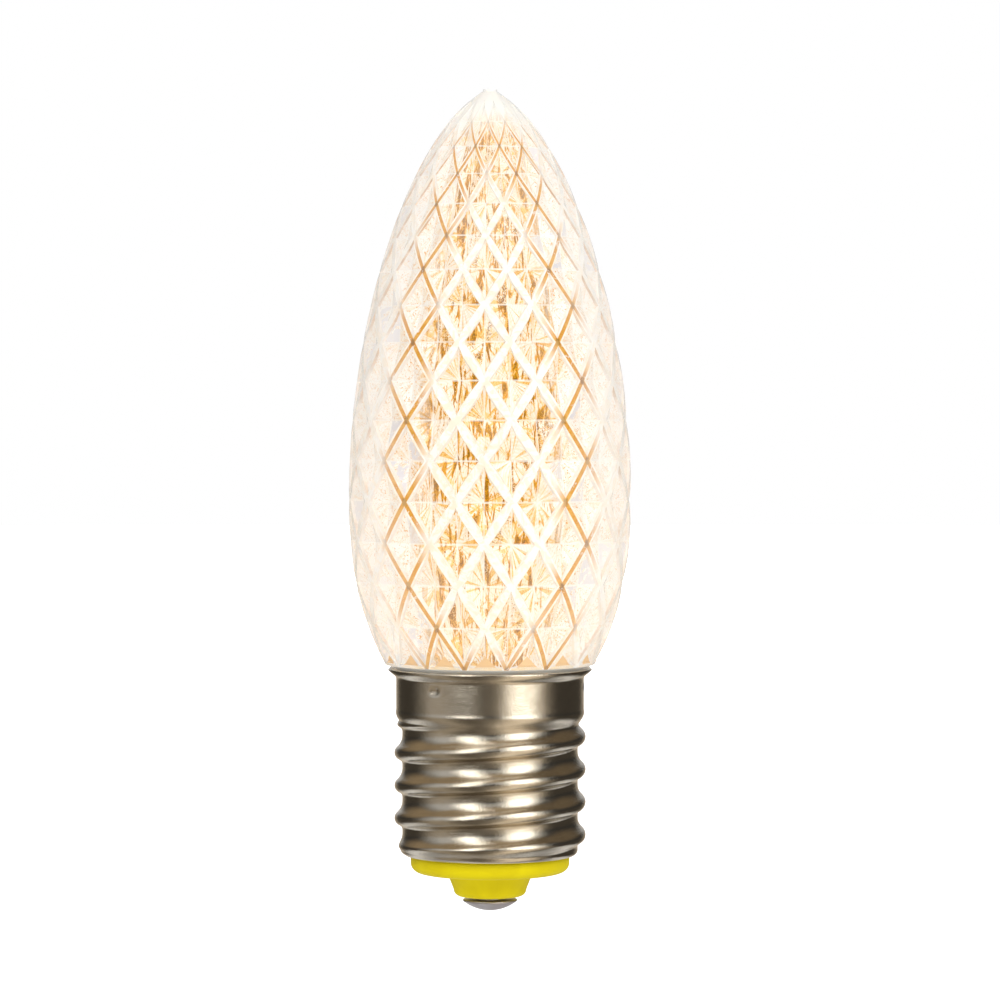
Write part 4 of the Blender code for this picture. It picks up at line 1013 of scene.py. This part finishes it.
# Walls below and above eye level, the warm ceiling, and the line where they meet
low_walls = by_azimuth(
    GREY, (-180, 0.7), (-166, 0.6), (-150, 0.06), (-106, 0.06), (-92, 0.2), (-75, 0.38),
    (-58, 0.38), (-45, 0.2), (-34, 0.13), (-19, 0.15), (0, 0.2), (12, 0.28), (24, 0.85),
    (34, 1.0), (50, 1.0), (64, 0.65), (80, 0.1), (90, 0.06), (150, 0.06), (166, 0.6),
    (180, 0.7))
high_walls = by_azimuth(
    WHITE, (-180, 0.7), (-166, 0.6), (-150, 0.03), (-106, 0.03), (-92, 0.25), (-75, 0.55),
    (-50, 0.5), (-42, 0.4), (-12, 0.04), (0, 0.03), (14, 0.04), (64, 0.12), (84, 0.03),
    (150, 0.03), (166, 0.6), (180, 0.7))
ceiling = by_azimuth(
    TAN, (-180, 0.26), (-95, 0.32), (60, 0.36), (80, 0.16), (150, 0.14), (180, 0.26))
cornice = room_part(
    "MULTIPLY",
    by_azimuth(WHITE, (-100, 0.0), (-80, 0.45), (-10, 0.6), (60, 0.6), (78, 0.1),
               (90, 0.0)),
    by_elevation((14, 0.0), (21, 1.0), (29, 1.0), (36, 0.0)))
room = room_part("MIX", low_walls, high_walls, by_elevation((-3, 0.0), (3, 1.0)))
room = room_part("MIX", room, ceiling, by_elevation((38, 0.0), (46, 1.0)))
side_ceiling = room_part(
    "MULTIPLY", by_azimuth(WHITE, (-165, 0.0), (-145, 1.0), (-110, 1.0), (-90, 0.0),
                           (84, 0.0), (105, 1.0), (145, 1.0), (165, 0.0)),
    by_elevation((6, 0.0), (28, 1.0)))
room = room_part("MIX", room, ceiling, side_ceiling)
room = room_part("LIGHTEN", room, cornice)

# The two soft boxes, and the white sweep behind the bulb
left_box = room_part(
    "MULTIPLY",
    by_azimuth(WHITE, (-46, 0.0), (-38, 1.0), (-23, 1.0), (-15, 0.0)),
    by_elevation((2, 0.0), (8, 1.0), (63, 1.0), (71, 0.0)))
right_box = room_part(
    "MULTIPLY",
    by_azimuth(WHITE, (18, 0.0), (28, 1.0), (51, 1.0), (64, 0.0)),
    by_elevation((-8, 0.0), (0, 1.0), (46, 1.0), (54, 0.0)))
boxes = room_part("ADD", left_box, right_box)
room = room_part("MIX", room, BOX_WHITE, boxes)
behind = add_node(tree, "ShaderNodeMapRange", {
    "Value": way.outputs["Y"], "From Min": 0.0, "From Max": 0.2})
below = add_node(tree, "ShaderNodeMapRange", {
    "Value": way.outputs["Z"], "From Min": -0.39, "From Max": -0.47})
sweep = add_node(tree, "ShaderNodeMath", {
    0: behind.outputs["Result"], 1: below.outputs["Result"]}, operation="MULTIPLY")
table = by_elevation((-90, 0.75), (-64, 0.75), (-56, 0.38), (-46, 0.36), (-38, 0.78),
                     (-10, 0.8))
room = room_part("MIX", room, table, sweep.outputs["Value"])

# What the bulb mirrors on its outside is the room, and all else sees plain white
outside = add_node(tree, "ShaderNodeMath", {
    0: ray.outputs["Transmission Depth"], 1: 0.5}, operation="LESS_THAN")
shiny = add_node(tree, "ShaderNodeMath", {
    0: ray.outputs["Is Glossy Ray"], 1: outside.outputs["Value"]}, operation="MULTIPLY")
seen = add_node(tree, "ShaderNodeMix", {
    "Factor": shiny.outputs["Value"], "A": (1.0, 1.0, 1.0, 1.0),
    "B": room}, data_type="RGBA")
tree.links.new(seen.outputs["Result"], backdrop.inputs["Color"])
level = add_node(tree, "ShaderNodeMix", {
    "Factor": ray.outputs["Is Diffuse Ray"], "A": 1.0, "B": BACKDROP_LIGHT},
    data_type="FLOAT")
tree.links.new(level.outputs["Result"], backdrop.inputs["Strength"])

# Pale floor, plain white to the camera
floor_look, tree, shader = new_look(
    "pale_floor", Roughness=0.8, Base_Color=(0.9, 0.9, 0.9, 1.0),
    Emission_Color=(1.0, 1.0, 1.0, 1.0))
ray = add_node(tree, "ShaderNodeLightPath")
tree.links.new(ray.outputs["Is Camera Ray"], shader.inputs["Emission Strength"])
bm = bmesh.new()
bmesh.ops.create_circle(bm, cap_ends=True, segments=64, radius=FLOOR_RADIUS,
                        matrix=Matrix.Translation((0.0, 0.0, -FLOOR_DROP)))
mesh = bpy.data.meshes.new("floor")
bm.to_mesh(mesh)
bm.free()
mesh.materials.append(floor_look)
floor = bpy.data.objects.new("floor", mesh)
bpy.context.scene.collection.objects.link(floor)
floor.visible_glossy = False


def soft_lamp(name, azimuth, elevation, power):
    """A square soft lamp that faces the middle of the bulb."""
    lamp = bpy.data.lights.new(name, "AREA")
    lamp.shape = "SQUARE"
    lamp.size = LAMP_SIZE
    lamp.energy = power
    lamp_object = bpy.data.objects.new(name, lamp)
    angle = front_angle(azimuth)
    tilt = math.radians(elevation)
    away = Vector((math.cos(angle) * math.cos(tilt), math.sin(angle) * math.cos(tilt),
                   math.sin(tilt)))
    lamp_object.location = PHOTO_CENTRE + away * LAMP_DISTANCE
    lamp_object.rotation_euler = away.to_track_quat("Z", "Y").to_euler()
    lamp_object.visible_glossy = False
    bpy.context.scene.collection.objects.link(lamp_object)


soft_lamp("left_lamp", azimuth=-35, elevation=30, power=0.95)
soft_lamp("right_lamp", azimuth=45, elevation=30, power=1.2)
soft_lamp("front_fill", azimuth=5, elevation=-15, power=1.1)

view = bpy.data.cameras.new("photo_camera")
view.sensor_fit = "HORIZONTAL"
view.angle = math.radians(PHOTO_FIELD)
view.clip_start = 0.01
view.clip_end = 20.0
camera = bpy.data.objects.new("photo_camera", view)
bpy.context.scene.collection.objects.link(camera)
camera.location = (PHOTO_CENTRE.x, -CAMERA_DISTANCE, CAMERA_HEIGHT)
sight = PHOTO_CENTRE - camera.location
camera.rotation_euler = sight.to_track_quat("-Z", "Y").to_euler()
bpy.context.scene.camera = camera
bpy.context.scene.view_settings.view_transform = "Standard"
